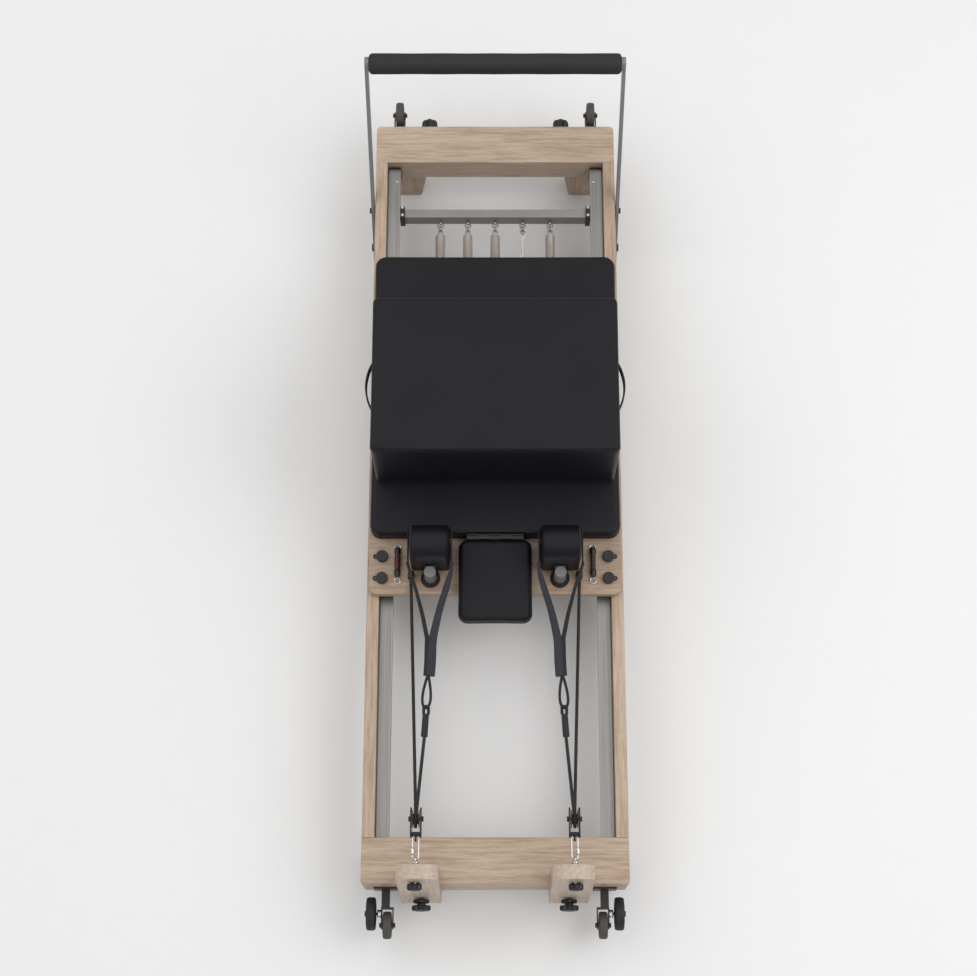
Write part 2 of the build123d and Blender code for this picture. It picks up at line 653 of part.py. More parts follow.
def snap_hook():
    """An oval spring link that lies flat, from the bolt's eye to the pulley block's eye."""
    y = (HEAD + RISER_LAP + 20, HEAD + SPACER_FROM_HEAD - LINK_FROM_SPACER)
    half, drop = CHEEK_INSIDE - 3.0, PULLEY_RISE - (EYE_Z - FRAME_TOP)
    start, end = (y[0], EYE_Z), (y[1], EYE_Z + drop)
    sides = [bar_between((PULLEY_X + k * half, *start), (PULLEY_X + k * half, *end), 2 * LINK_WIRE, 2 * LINK_WIRE)
             for k in (-1, 1)]
    across = (PULLEY_X - half - LINK_WIRE, PULLEY_X + half + LINK_WIRE)
    return sides[0] + sides[1] + rod_x(across, *start, LINK_WIRE) + rod_x(across, *end, LINK_WIRE)


CHEEK_INSIDE = 11.0
SPACER_FROM_HEAD = 112.0
LINK_FROM_SPACER = 11.0
LINK_WIRE = 2.4
CHEEK_THICKNESS = 4.0
SHEAVE_HALF = 9.0
GROOVE_HALF = 7.6
ROPE_GAP = 1.1


def pulley_block():
    """Two cheeks joined by a top spacer, with the sheave's axle through them."""
    cheeks = []
    for side in (-1, 1):
        x = sorted((PULLEY_X + side * CHEEK_INSIDE, PULLEY_X + side * (CHEEK_INSIDE + CHEEK_THICKNESS)))
        plate = block(x, (HEAD + 103, PULLEY_Y + 30), (PULLEY_Z - 17, PULLEY_Z + 17))
        cheeks.append(fillet(plate.edges().filter_by(Axis.X), 14))
    spacer = rod_x((PULLEY_X - CHEEK_INSIDE, PULLEY_X + CHEEK_INSIDE), HEAD + SPACER_FROM_HEAD, PULLEY_Z, 6)
    eye_y, eye_x = HEAD + SPACER_FROM_HEAD - LINK_FROM_SPACER, (PULLEY_X - 2.5, PULLEY_X + 2.5)
    spacer += rod_x(eye_x, eye_y, PULLEY_Z, 8) - rod_x(eye_x, eye_y, PULLEY_Z, LINK_WIRE + CLEAR_GAP / 2)
    reach = CHEEK_INSIDE + CHEEK_THICKNESS
    axle = rod_x((PULLEY_X - reach, PULLEY_X + reach), PULLEY_Y, PULLEY_Z, AXLE_RADIUS)
    nuts = rod_x((PULLEY_X - reach - 5, PULLEY_X - reach), PULLEY_Y, PULLEY_Z, 7)
    nuts += rod_x((PULLEY_X + reach, PULLEY_X + reach + 5), PULLEY_Y, PULLEY_Z, 7)
    return cheeks[0] + cheeks[1] + spacer + axle + nuts


def sheave():
    """A grooved wheel: the rope lies in a flat-bottomed groove, at ROPE_TURN_RADIUS from the axle."""
    wheel = rod_x((PULLEY_X - SHEAVE_HALF, PULLEY_X + SHEAVE_HALF), PULLEY_Y, PULLEY_Z, SHEAVE_RADIUS)
    across = (PULLEY_X - GROOVE_HALF, PULLEY_X + GROOVE_HALF)
    groove = rod_x(across, PULLEY_Y, PULLEY_Z, SHEAVE_RADIUS + 1)
    groove -= rod_x(across, PULLEY_Y, PULLEY_Z, ROPE_TURN_RADIUS - ROPE_RADIUS - ROPE_GAP)
    bore = rod_x((PULLEY_X - 10, PULLEY_X + 10), PULLEY_Y, PULLEY_Z, AXLE_RADIUS + RUNNING_GAP)
    return wheel - groove - bore


# ---- footbar ----

PIVOT_BOLT_RADIUS = 8.0


def along_arm(distance):
    """A (y, z) point on the arm's line, measured from its pivot."""
    angle = math.radians(ARM_ANGLE)
    return PIVOT_Y + distance * math.cos(angle), PIVOT_Z + distance * math.sin(angle)


def footbar_arm():
    """A flat bar from a rounded tail below the pivot to the padded tube."""
    tail, head = -40.0, ARM_LENGTH + 4
    body = Pos((tail + head) / 2, 0, 0) * Box(head - tail, ARM_WIDTH, ARM_THICKNESS)
    for x in (tail, head):
        body += Pos(x, 0, 0) * Cylinder(ARM_WIDTH / 2, ARM_THICKNESS)
    body -= Cylinder(PIVOT_BOLT_RADIUS + RUNNING_GAP, ARM_THICKNESS + 2)
    body -= Pos(LOCK_RADIUS, 0, 0) * Cylinder(LOCK_PIN_RADIUS + RUNNING_GAP, ARM_THICKNESS + 2)
    body = chamfer(body.faces().sort_by(Axis.Z)[-1].edges().filter_by(GeomType.LINE), 0.8)
    lie = Plane(origin=(ARM_INSIDE + ARM_THICKNESS / 2, PIVOT_Y, PIVOT_Z), x_dir=(0, 1, 0), z_dir=(1, 0, 0))
    return lie * Rot(0, 0, ARM_ANGLE) * body


LOCK_PIN_RADIUS = 5.0
LOCK_STEPS = (0, -19, -38, -58)


def footbar_quadrant():
    """The steel sector on the frame's side, with a hole for each footbar height."""
    outer, inner = LOCK_RADIUS + 13, 24.0
    lie = Plane(origin=(HALF_WIDTH, PIVOT_Y, PIVOT_Z), x_dir=(0, 1, 0), z_dir=(1, 0, 0))
    first, last = ARM_ANGLE + LOCK_STEPS[-1] - 5, ARM_ANGLE + 16
    band = Pos(0, 0, QUADRANT_THICKNESS / 2) * Cylinder(outer, QUADRANT_THICKNESS)
    wedge = Polyline((0, 0), *[polar(outer * 1.3, first + (last - first) * k / 4) for k in range(5)], close=True)
    sector = band & extrude(make_face(wedge), QUADRANT_THICKNESS)
    sector += Pos(0, 0, QUADRANT_THICKNESS / 2) * Cylinder(inner, QUADRANT_THICKNESS)
    for step in LOCK_STEPS:
        y, z = polar(LOCK_RADIUS, ARM_ANGLE + step)
        sector -= Pos(y, z, QUADRANT_THICKNESS / 2) * Cylinder(LOCK_PIN_RADIUS + 0.3, QUADRANT_THICKNESS + 1)
    sector -= Cylinder(PIVOT_BOLT_RADIUS + CLEAR_GAP / 5, 4 * QUADRANT_THICKNESS)
    return lie * sector


def polar(radius, degrees):
    return radius * math.cos(math.radians(degrees)), radius * math.sin(math.radians(degrees))


def pivot_bolt():
    shank = rod_x((BOARD_INSIDE, ARM_OUTSIDE + 0.4), PIVOT_Y, PIVOT_Z, PIVOT_BOLT_RADIUS)
    head = rod_x((ARM_OUTSIDE + 0.4, ARM_OUTSIDE + 5), PIVOT_Y, PIVOT_Z, 12)
    nut = rod_x((BOARD_INSIDE - 8, BOARD_INSIDE), PIVOT_Y, PIVOT_Z, 13)
    return shank + chamfer(head.edges().filter_by(GeomType.CIRCLE), 1) + nut


def lock_pin():
    """A sprung plunger through the arm, with a low pull head outside."""
    y, z = along_arm(LOCK_RADIUS)
    pin = rod_x((ARM_INSIDE + 0.1, ARM_OUTSIDE + 1), y, z, LOCK_PIN_RADIUS)
    head = rod_x((ARM_OUTSIDE + 0.4, ARM_OUTSIDE + 6), y, z, 9)
    return pin + chamfer(head.edges().filter_by(GeomType.CIRCLE), 1)


def footbar_tube():
    tube = rod_x((-ARM_INSIDE, ARM_INSIDE), FOOTBAR_Y, FOOTBAR_Z, FOOTBAR_TUBE_RADIUS)
    return tube - rod_x((-ARM_INSIDE, ARM_INSIDE), FOOTBAR_Y, FOOTBAR_Z, FOOTBAR_TUBE_RADIUS - 2)


def footbar_pad():
    half = FOOTBAR_LENGTH / 2
    pad = rod_x((-half, half), FOOTBAR_Y, FOOTBAR_Z, FOOTBAR_RADIUS)
    pad = fillet(pad.edges().filter_by(GeomType.CIRCLE), 4)
    return pad - rod_x((-half - 1, half + 1), FOOTBAR_Y, FOOTBAR_Z, FOOTBAR_TUBE_RADIUS)


# ---- knobs and casters at the ends ----

FOOT_KNOB_Z = FRAME_TOP - 30


def foot_end_knob():
    """A star knob on a stud in the foot end's outer face."""
    grip = Pos(CLAMP_X, FOOT + 14, FOOT_KNOB_Z) * Rot(-90, 0, 0) * star_knob(27, 18, 8)
    neck = rod_y(CLAMP_X, (FOOT + CLEAR_GAP, FOOT + 14), FOOT_KNOB_Z, 14)
    stud = rod_y(CLAMP_X, (FOOT - 30, FOOT + CLEAR_GAP), FOOT_KNOB_Z, STUD_RADIUS)
    return grip + neck + stud


def stud_hole(face_y, z):
    return rod_y(CLAMP_X, (face_y - 31, face_y + 31), z, STUD_RADIUS + RUNNING_GAP)


CHEEK_GAP = 1.5
FORK_PLATE = 3.0
SIDE_WHEEL_RADIUS = 45.0
SIDE_WHEEL_X = (328.5, 355.5)
SIDE_WHEEL_FROM_HEAD = 70.0
HEAD_CASTER_Z = FRAME_TOP - 118
FOOT_CASTER_Z = FRAME_TOP - 48


def caster_frame(face_y, axle_y, z, side):
    """A plate, a neck, two fork cheeks and an axle; side is -1 at the head end and +1 at the foot end."""
    half = CASTER_WHEEL_WIDTH / 2 + CHEEK_GAP
    plate = block((CASTER_X - 25, CASTER_X + 38), sorted((face_y, face_y + side * 5)), (z - 30, z + 30))
    reach = abs(axle_y - face_y)
    neck = block((CASTER_X - 6, CASTER_X + 16), sorted((face_y + side * 5, face_y + side * (reach - 44))), (z - 14, z + 14))
    bridge = block(
        (CASTER_X - half - FORK_PLATE, CASTER_X + half + FORK_PLATE),
        sorted((face_y + side * (reach - 48), face_y + side * (reach - 43))),
        (z - 14, z + 14),
    )
    cheeks = None
    for k in (-1, 1):
        x = sorted((CASTER_X + k * half, CASTER_X + k * (half + FORK_PLATE)))
        cheek = block(x, sorted((face_y + side * (reach - 46), axle_y)), (z - 11, z + 11))
        cheek += rod_x(x, axle_y, z, 11)
        nut = rod_x(sorted((x[0 if k < 0 else 1], x[0 if k < 0 else 1] + k * 5)), axle_y, z, 6.5)
        cheeks = cheek + nut if cheeks is None else cheeks + cheek + nut
    axle = rod_x((CASTER_X - half - 1, CASTER_X + half + 1), axle_y, z, AXLE_RADIUS)
    return plate + neck + bridge + cheeks + axle


def caster_wheel(radius, axle_y, z):
    half = CASTER_WHEEL_WIDTH / 2
    wheel = rod_x((CASTER_X - half, CASTER_X + half), axle_y, z, radius)
    wheel = fillet(wheel.edges().filter_by(GeomType.CIRCLE), 7)
    return wheel - rod_x((CASTER_X - half - 1, CASTER_X + half + 1), axle_y, z, AXLE_RADIUS + RUNNING_GAP)


def side_wheel():
    wheel = rod_x(SIDE_WHEEL_X, HEAD - SIDE_WHEEL_FROM_HEAD, HEAD_CASTER_Z, SIDE_WHEEL_RADIUS)
    wheel = fillet(wheel.edges().filter_by(GeomType.CIRCLE), 4)
    x = (SIDE_WHEEL_X[0] - 1, SIDE_WHEEL_X[1] + 1)
    return wheel - rod_x(x, HEAD - SIDE_WHEEL_FROM_HEAD, HEAD_CASTER_Z, AXLE_RADIUS + RUNNING_GAP)


def side_wheel_axle():
    y = HEAD - SIDE_WHEEL_FROM_HEAD
    cheek = CASTER_X + CASTER_WHEEL_WIDTH / 2 + CHEEK_GAP + FORK_PLATE
    shaft = rod_x((cheek, SIDE_WHEEL_X[1] + 1), y, HEAD_CASTER_Z, AXLE_RADIUS)
    collar = rod_x((cheek, cheek + 7), y, HEAD_CASTER_Z, 8)
    cap = rod_x((SIDE_WHEEL_X[1] + 0.5, SIDE_WHEEL_X[1] + 4), y, HEAD_CASTER_Z, 8)
    return shaft + collar + cap


# ---- the machine, node by node ----

HEAD_CASTER_Y = HEAD - HEAD_CASTER_REACH
FOOT_CASTER_Y = FOOT + FOOT_CASTER_REACH
clamp_holes = both(stud_hole(HEAD, CLAMP_Z))
foot_knob_holes = both(stud_hole(FOOT, FOOT_KNOB_Z))
pad_shape = cushion(
    (-CARRIAGE_PAD_WIDTH / 2, CARRIAGE_PAD_WIDTH / 2), (PAD_NEAR, PAD_FAR), (PLATFORM_TOP, PAD_TOP), 38, 12
)
axles = [roller_axle(y) for y in ROLLER_Y]
pairs = {
    "lock_pin": lock_pin(),
    "clamp_knob": clamp_knob(),
    "pulley_knob": pulley_knob(),
    "sheave": sheave(),
    "foot_end_knob": foot_end_knob(),
    "rope": rope(),
    "head_caster_wheel": caster_wheel(HEAD_CASTER_RADIUS, HEAD_CASTER_Y, HEAD_CASTER_Z),
    "foot_caster_wheel": caster_wheel(FOOT_CASTER_RADIUS, FOOT_CASTER_Y, FOOT_CASTER_Z),
    "side_wheel": side_wheel(),
}
nodes = {
    "head_end_board": head_end() - clamp_holes,
    "foot_end_beam": end_beam(FOOT, -1, 13) - foot_knob_holes,
    "legs": group(both(leg(HEAD_LEG_Y)), both(leg(FOOT_LEG_Y))),
    "side_boards": both(side_board()),
    "foot_pads": group(both(foot_pad(HEAD_LEG_Y)), both(foot_pad(FOOT_LEG_Y))),
    "frame_screws": frame_screws(),
    "track_end_stops": group(both(track_end_cap()), both(track_stop())),
    "tracks": both(track()),
    "spring_bar": spring_bar(),
    "spring_bar_brackets": both(spring_bar_bracket()),
    "spring_hooks": group(*[spring_hook(i) for i in range(5)]),
    "springs": group(*[light_spring() if i == LIGHT_SPRING else tension_spring(i) for i in range(5)]),
    "platform": platform(),
    "chassis_rails": both(chassis_rail()),
    "chassis_crossbars": group(crossbars(), spring_anchor()),
    "roller_axles": group(*[both(axle) for axle in axles]),
    "head_end_rollers": both(roller(ROLLER_Y[0])),
    "foot_end_rollers": both(roller(ROLLER_Y[1])),
    "carriage_pad": pad_shape,
    "shoulder_posts": group(both(shoulder_post()), both(shoulder_bracket())),
    "shoulder_pads": both(shoulder_pad()),
    "post_collars": both(post_collar()),
    "strap_loops": both(strap_loop()),
    "hand_straps": both(strap_strands() + rope_eye()),
    "platform_knobs": group(*[both(platform_knob(x, y)) for x, y in KNOB_SPOTS]),
    "rope_cleats": group(both(rope_cleat()), both(rope_fairlead())),
    "cleat_grommets": both(cleat_grommets()),
    "headrest_board": headrest_board(),
    "headrest_pad": headrest_pad(),
    "carriage_hinge": carriage_hinge(),
    "headrest_hinge": headrest_hinge(),
    "box_cover": box_cover(),
    "box_panels": box_panels(),
    "box_handles": both(box_handle()),
    "risers": both(riser()),
    "pulley_hooks": group(both(eye_bolt()), both(snap_hook())),
    "pulley_blocks": both(pulley_block()),
    "footbar_quadrants": group(both(footbar_quadrant()), both(pivot_bolt())),
    "footbar_arms": both(footbar_arm()),
    "footbar_tube": footbar_tube(),
    "footbar_pad": footbar_pad(),
    "caster_frames": group(
        both(caster_frame(HEAD, HEAD_CASTER_Y, HEAD_CASTER_Z, -1) + side_wheel_axle()),
        both(caster_frame(FOOT, FOOT_CASTER_Y, FOOT_CASTER_Z, 1)),
    ),
}
for name, shape in pairs.items():
    nodes[name + "_right"] = shape
    nodes[name + "_left"] = left(shape)

os.makedirs("parts", exist_ok=True)
for name, shape in nodes.items():
    export_step(shape, f"parts/{name}.step")
print(len(nodes), "nodes")
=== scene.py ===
"""The looks of a wooden pilates reformer, built around its fixed metal-and-wood frame model.

Every shape is a surface worked out with numpy in metres: X across the bed, Y from the head end to the foot
end, Z up from the floor. Each sub-assembly is a class that makes its own meshes and dresses its own nodes.
"""

from __future__ import annotations

import logging
import math
from dataclasses import dataclass, field, replace
from enum import Enum

import bpy
import numpy as np
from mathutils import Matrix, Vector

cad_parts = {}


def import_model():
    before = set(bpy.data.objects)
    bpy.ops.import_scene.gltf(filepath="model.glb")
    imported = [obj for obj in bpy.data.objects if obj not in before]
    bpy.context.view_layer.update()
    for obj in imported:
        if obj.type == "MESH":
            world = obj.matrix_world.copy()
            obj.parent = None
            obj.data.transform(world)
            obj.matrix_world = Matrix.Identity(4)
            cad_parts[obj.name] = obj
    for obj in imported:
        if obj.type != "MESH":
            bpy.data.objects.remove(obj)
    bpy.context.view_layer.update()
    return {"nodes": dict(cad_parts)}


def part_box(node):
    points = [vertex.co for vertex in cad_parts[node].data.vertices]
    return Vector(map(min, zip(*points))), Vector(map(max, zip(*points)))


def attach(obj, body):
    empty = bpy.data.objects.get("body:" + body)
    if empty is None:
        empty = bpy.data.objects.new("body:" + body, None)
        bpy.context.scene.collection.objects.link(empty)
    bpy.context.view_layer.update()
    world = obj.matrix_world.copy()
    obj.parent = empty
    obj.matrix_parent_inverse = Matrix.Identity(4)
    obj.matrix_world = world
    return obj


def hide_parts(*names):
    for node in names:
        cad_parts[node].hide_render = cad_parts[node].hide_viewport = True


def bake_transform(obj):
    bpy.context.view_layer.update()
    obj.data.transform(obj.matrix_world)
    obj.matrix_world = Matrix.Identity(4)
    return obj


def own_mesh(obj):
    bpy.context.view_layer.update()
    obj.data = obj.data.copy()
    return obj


log = logging.getLogger("reformer")

Colour = tuple[float, float, float]
Point = tuple[float, float, float]


# ---- surfaces ----


@dataclass
class Shell:
    """A closed surface held as arrays, with one UV pair for each corner of its four-sided faces."""

    points: np.ndarray
    quads: np.ndarray
    uv: np.ndarray
    caps: list[np.ndarray] = field(default_factory=list)

    @staticmethod
    def from_grid(grid: np.ndarray, uv_size: tuple[float, float] = (1.0, 1.0), ring: bool = False) -> "Shell":
        """Joins a grid of rows into a tube whose columns meet round the back.

        Args:
            grid: Points of shape (rows, columns, 3); each row is one closed section.
            uv_size: Length of the U side, round the section, and of the V side, along the rows, in metres.
            ring: True where the last row also joins the first, as on a tyre.

        Returns:
            The surface, with flat caps over its two end rows unless it is a ring.
        """
        rows, columns = grid.shape[:2]
        steps = rows if ring else rows - 1
        i, j = np.meshgrid(np.arange(steps), np.arange(columns), indexing="ij")
        below, beside = (i + 1) % rows, (j + 1) % columns
        quads = np.stack(
            [i * columns + j, i * columns + beside, below * columns + beside, below * columns + j], -1
        )
        u, v = uv_size[0] / columns, uv_size[1] / steps
        corners = [np.stack([(j + a) * u, (i + b) * v], -1) for a, b in ((0, 0), (1, 0), (1, 1), (0, 1))]
        caps = [] if ring else [np.arange(columns)[::-1], (rows - 1) * columns + np.arange(columns)]
        shell = Shell(grid.reshape(-1, 3), quads.reshape(-1, 4), np.stack(corners, 2).reshape(-1, 4, 2), caps)
        return shell.outward()

    def outward(self) -> "Shell":
        """Turns every face round if the enclosed volume comes out negative.

        Returns:
            This surface, or its copy with the faces turned.
        """
        p = self.points
        a, b, c, d = (p[self.quads[:, k]] for k in range(4))
        volume = np.einsum("ij,ij->", a, np.cross(b, c)) + np.einsum("ij,ij->", a, np.cross(c, d))
        for cap in self.caps:
            fan = p[cap]
            volume += np.einsum("ij,ij->", np.broadcast_to(fan[0], fan[1:-1].shape), np.cross(fan[1:-1], fan[2:]))
        if volume >= 0:
            return self
        return Shell(p, self.quads[:, ::-1], self.uv[:, ::-1], [cap[::-1] for cap in self.caps])

    def mirrored(self) -> "Shell":
        """The same surface on the other side of the bed."""
        return Shell(self.points * (-1, 1, 1), self.quads[:, ::-1], self.uv[:, ::-1], [c[::-1] for c in self.caps])

    @staticmethod
    def joined(shells: list["Shell"]) -> "Shell":
        """Puts several surfaces into one, each keeping its own points.

        Args:
            shells: The surfaces to put together.

        Returns:
            One surface with all their faces.
        """
        starts = np.cumsum([0] + [len(s.points) for s in shells[:-1]])
        return Shell(
            np.concatenate([s.points for s in shells]),
            np.concatenate([s.quads + n for s, n in zip(shells, starts)]),
            np.concatenate([s.uv for s in shells]),
            [cap + n for s, n in zip(shells, starts) for cap in s.caps],
        )

    def to_object(self, name: str, crease: float = 40.0) -> bpy.types.Object:
        """Makes a Blender object of this surface.

        Args:
            name: The object's name.
            crease: Edges that turn by more than this many degrees stay sharp.

        Returns:
            The object, at the origin, with a UV map.
        """
        mesh = bpy.data.meshes.new(name)
        faces = self.quads.tolist() + [cap.tolist() for cap in self.caps]
        mesh.from_pydata(self.points.tolist(), [], faces)
        layer = mesh.uv_layers.new(name="UVMap")
        flat = np.concatenate([self.uv.reshape(-1, 2)] + [self.points[cap][:, :2] for cap in self.caps])
        layer.data.foreach_set("uv", flat.astype(np.float32).ravel())
        mesh.polygons.foreach_set("use_smooth", np.ones(len(mesh.polygons), bool))
        mesh.set_sharp_from_angle(angle=math.radians(crease))
        mesh.update()
        made = bpy.data.objects.new(name, mesh)
        bpy.context.scene.collection.objects.link(made)
        return made


def unit(vectors: np.ndarray) -> np.ndarray:
    """Scales every vector to length one."""
    return vectors / np.linalg.norm(vectors, axis=-1, keepdims=True)


def round_section(radius: float, count: int) -> np.ndarray:
    """A circle of count points: radius times the cosine and the sine of the angle."""
    turn = np.linspace(0, 2 * math.pi, count, endpoint=False)
    return radius * np.stack([np.cos(turn), np.sin(turn)], -1)


def flat_section(width: float, depth: float, count: int = 24, squareness: float = 5.0) -> np.ndarray:
    """A rounded strip: each side is the power 2 / squareness of the cosine or sine, which is a superellipse.

    Args:
        width: Size along the first axis.
        depth: Size along the second axis.
        count: Number of points.
        squareness: 2 gives an ellipse, and more gives squarer corners.

    Returns:
        Points of shape (count, 2).
    """
    circle = round_section(1.0, count)
    return np.sign(circle) * np.abs(circle) ** (2 / squareness) * (width / 2, depth / 2)


def carry(path: np.ndarray, section: np.ndarray, level: Point, closed: bool = False) -> Shell:
    """Carries a flat section along a path.

    Each point is path + side * a + up * b, where side is the cross product of level and the tangent, up
    completes the frame, and (a, b) is the section's point.

    Args:
        path: Points of shape (n, 3).
        section: Points of shape (k, 2), or (n, k, 2) for a section that changes.
        level: A direction that the path never follows, from which side and up are worked out.
        closed: True where the path ends where it starts.

    Returns:
        The closed surface, with its UV in metres.
    """
    if closed:
        tangent = np.roll(path, -1, 0) - np.roll(path, 1, 0)
    else:
        tangent = np.gradient(path, axis=0)
    tangent = unit(tangent)
    side = unit(np.cross(np.array(level, float), tangent))
    up = np.cross(tangent, side)
    outline = np.broadcast_to(section, (len(path), *section.shape[-2:]))
    grid = path[:, None] + side[:, None] * outline[..., :1] + up[:, None] * outline[..., 1:]
    around = np.linalg.norm(np.roll(outline[0], -1, 0) - outline[0], axis=1).sum()
    length = np.linalg.norm(np.diff(path, axis=0), axis=1).sum()
    return Shell.from_grid(grid, (around, length), closed)


def wire_ring(centre: Point, radius: float, wire: float, flat: bool, count: int = 28, around: int = 10) -> Shell:
    """A ring of round wire, level or upright along the bed: a circle carried by a circle.

    Args:
        centre: Its middle.
        radius: Radius of the wire's middle line.
        wire: The wire's own radius.
        flat: True for a level ring.
        count: Points round the ring.
        around: Points round the wire.

    Returns:
        The closed ring.
    """
    turn = np.linspace(0, 2 * math.pi, count, endpoint=False)
    c, s, zero = radius * np.cos(turn), radius * np.sin(turn), np.zeros_like(turn)
    path = np.stack([s, c, zero] if flat else [zero, c, s], -1) + np.array(centre)
    return carry(path, round_section(wire, around), (0, 0, 1) if flat else (1, 0, 0), closed=True)


def turned(
    profile: np.ndarray,
    centre: Point,
    axis: int,
    count: int = 48,
    lobes: int = 0,
    depth: float = 0.0,
    ring: bool = False,
) -> Shell:
    """Turns a profile round one of the three axes, with optional lobes.

    The radius at angle a is the profile's radius times 1 + depth * cos(lobes * a), weighted by how far out
    the point is, so that the middle stays round.

    Args:
        profile: Points of shape (k, 2): distance along the axis, and radius.
        centre: The point on the axis from which the distances count.
        axis: 0, 1 or 2 for X, Y or Z.
        count: Number of points round.
        lobes: Number of lobes, or 0.
        depth: Share of the radius by which a lobe stands out.
        ring: True for a profile that closes on itself, round an open middle.

    Returns:
        The closed surface.
    """
    angle = np.linspace(0, 2 * math.pi, count, endpoint=False)
    share = profile[:, 1] / profile[:, 1].max()
    wave = 1 + (depth if lobes else 0.0) * np.cos(lobes * angle)[None] * (share**2)[:, None]
    radius = profile[:, 1:] * wave
    grid = np.zeros((len(profile), count, 3))
    grid[..., axis] = profile[:, :1]
    grid[..., (axis + 1) % 3] = radius * np.cos(angle)
    grid[..., (axis + 2) % 3] = radius * np.sin(angle)
    size = (2 * math.pi * profile[:, 1].max(), np.linalg.norm(np.diff(profile, axis=0), axis=1).sum())
    return Shell.from_grid(grid + np.array(centre), size, ring)


def smooth_profile(points: list[tuple[float, float]], per_span: int = 6, ring: bool = False) -> np.ndarray:
    """Rounds a profile's corners: each corner becomes a parabola between points a little before and after it.

    Args:
        points: Corners as pairs of distance and radius.
        per_span: Points on each rounded corner.
        ring: True where the last corner joins the first.

    Returns:
        Points of shape (n, 2).
    """
    p = np.array(points, float)
    before = np.roll(p, 1, 0) if ring else np.vstack([p[:1], p[:-1]])
    after = np.roll(p, -1, 0) if ring else np.vstack([p[1:], p[-1:]])
    t = np.linspace(0, 1, per_span)[None, :, None]
    start, end = p + (before - p) * 0.3, p + (after - p) * 0.3
    curve = (1 - t) ** 2 * start[:, None] + 2 * t * (1 - t) * p[:, None] + t**2 * end[:, None]
    out = curve.reshape(-1, 2)
    if not ring:
        out = np.vstack([p[:1], out[per_span:-per_span], p[-1:]])
    return out


PUCKER_WAVES = 260  # radians of a corner pucker's wave for each metre along the outline


@dataclass(frozen=True)
class Outline:
    """A rounded rectangle in plan: four straight sides with a quarter circle at each corner."""

    half_x: float
    half_y: float
    radius: float
    corner_points: int = 12
    side_points: int = 30

    def arrays(self) -> tuple[np.ndarray, np.ndarray, np.ndarray]:
        """Works out the outline as whole arrays.

        Returns:
            Points (n, 2) about the middle, outward normals (n, 2), and for each point how far it is along its
            straight side, from 0 at a corner to 1 at the side's middle.
        """
        points, normals, middles = [], [], []
        for start, sx, sy in ((0, 1, 1), (90, -1, 1), (180, -1, -1), (270, 1, -1)):
            angle = np.radians(np.linspace(start, start + 90, self.corner_points))
            normal = np.stack([np.cos(angle), np.sin(angle)], -1)
            hub = np.array([sx * (self.half_x - self.radius), sy * (self.half_y - self.radius)])
            arc = hub + self.radius * normal
            far = np.array([-sy * (self.half_x - self.radius), sx * (self.half_y - self.radius)])
            share = np.linspace(0, 1, self.side_points + 2)[1:-1, None]
            side = arc[-1] + (far - hub) * share
            points += [arc, side]
            normals += [normal, np.broadcast_to(normal[-1], side.shape)]
            middles += [np.zeros(len(arc)), np.sin(share[:, 0] * math.pi)]
        return np.concatenate(points), np.concatenate(normals), np.concatenate(middles)


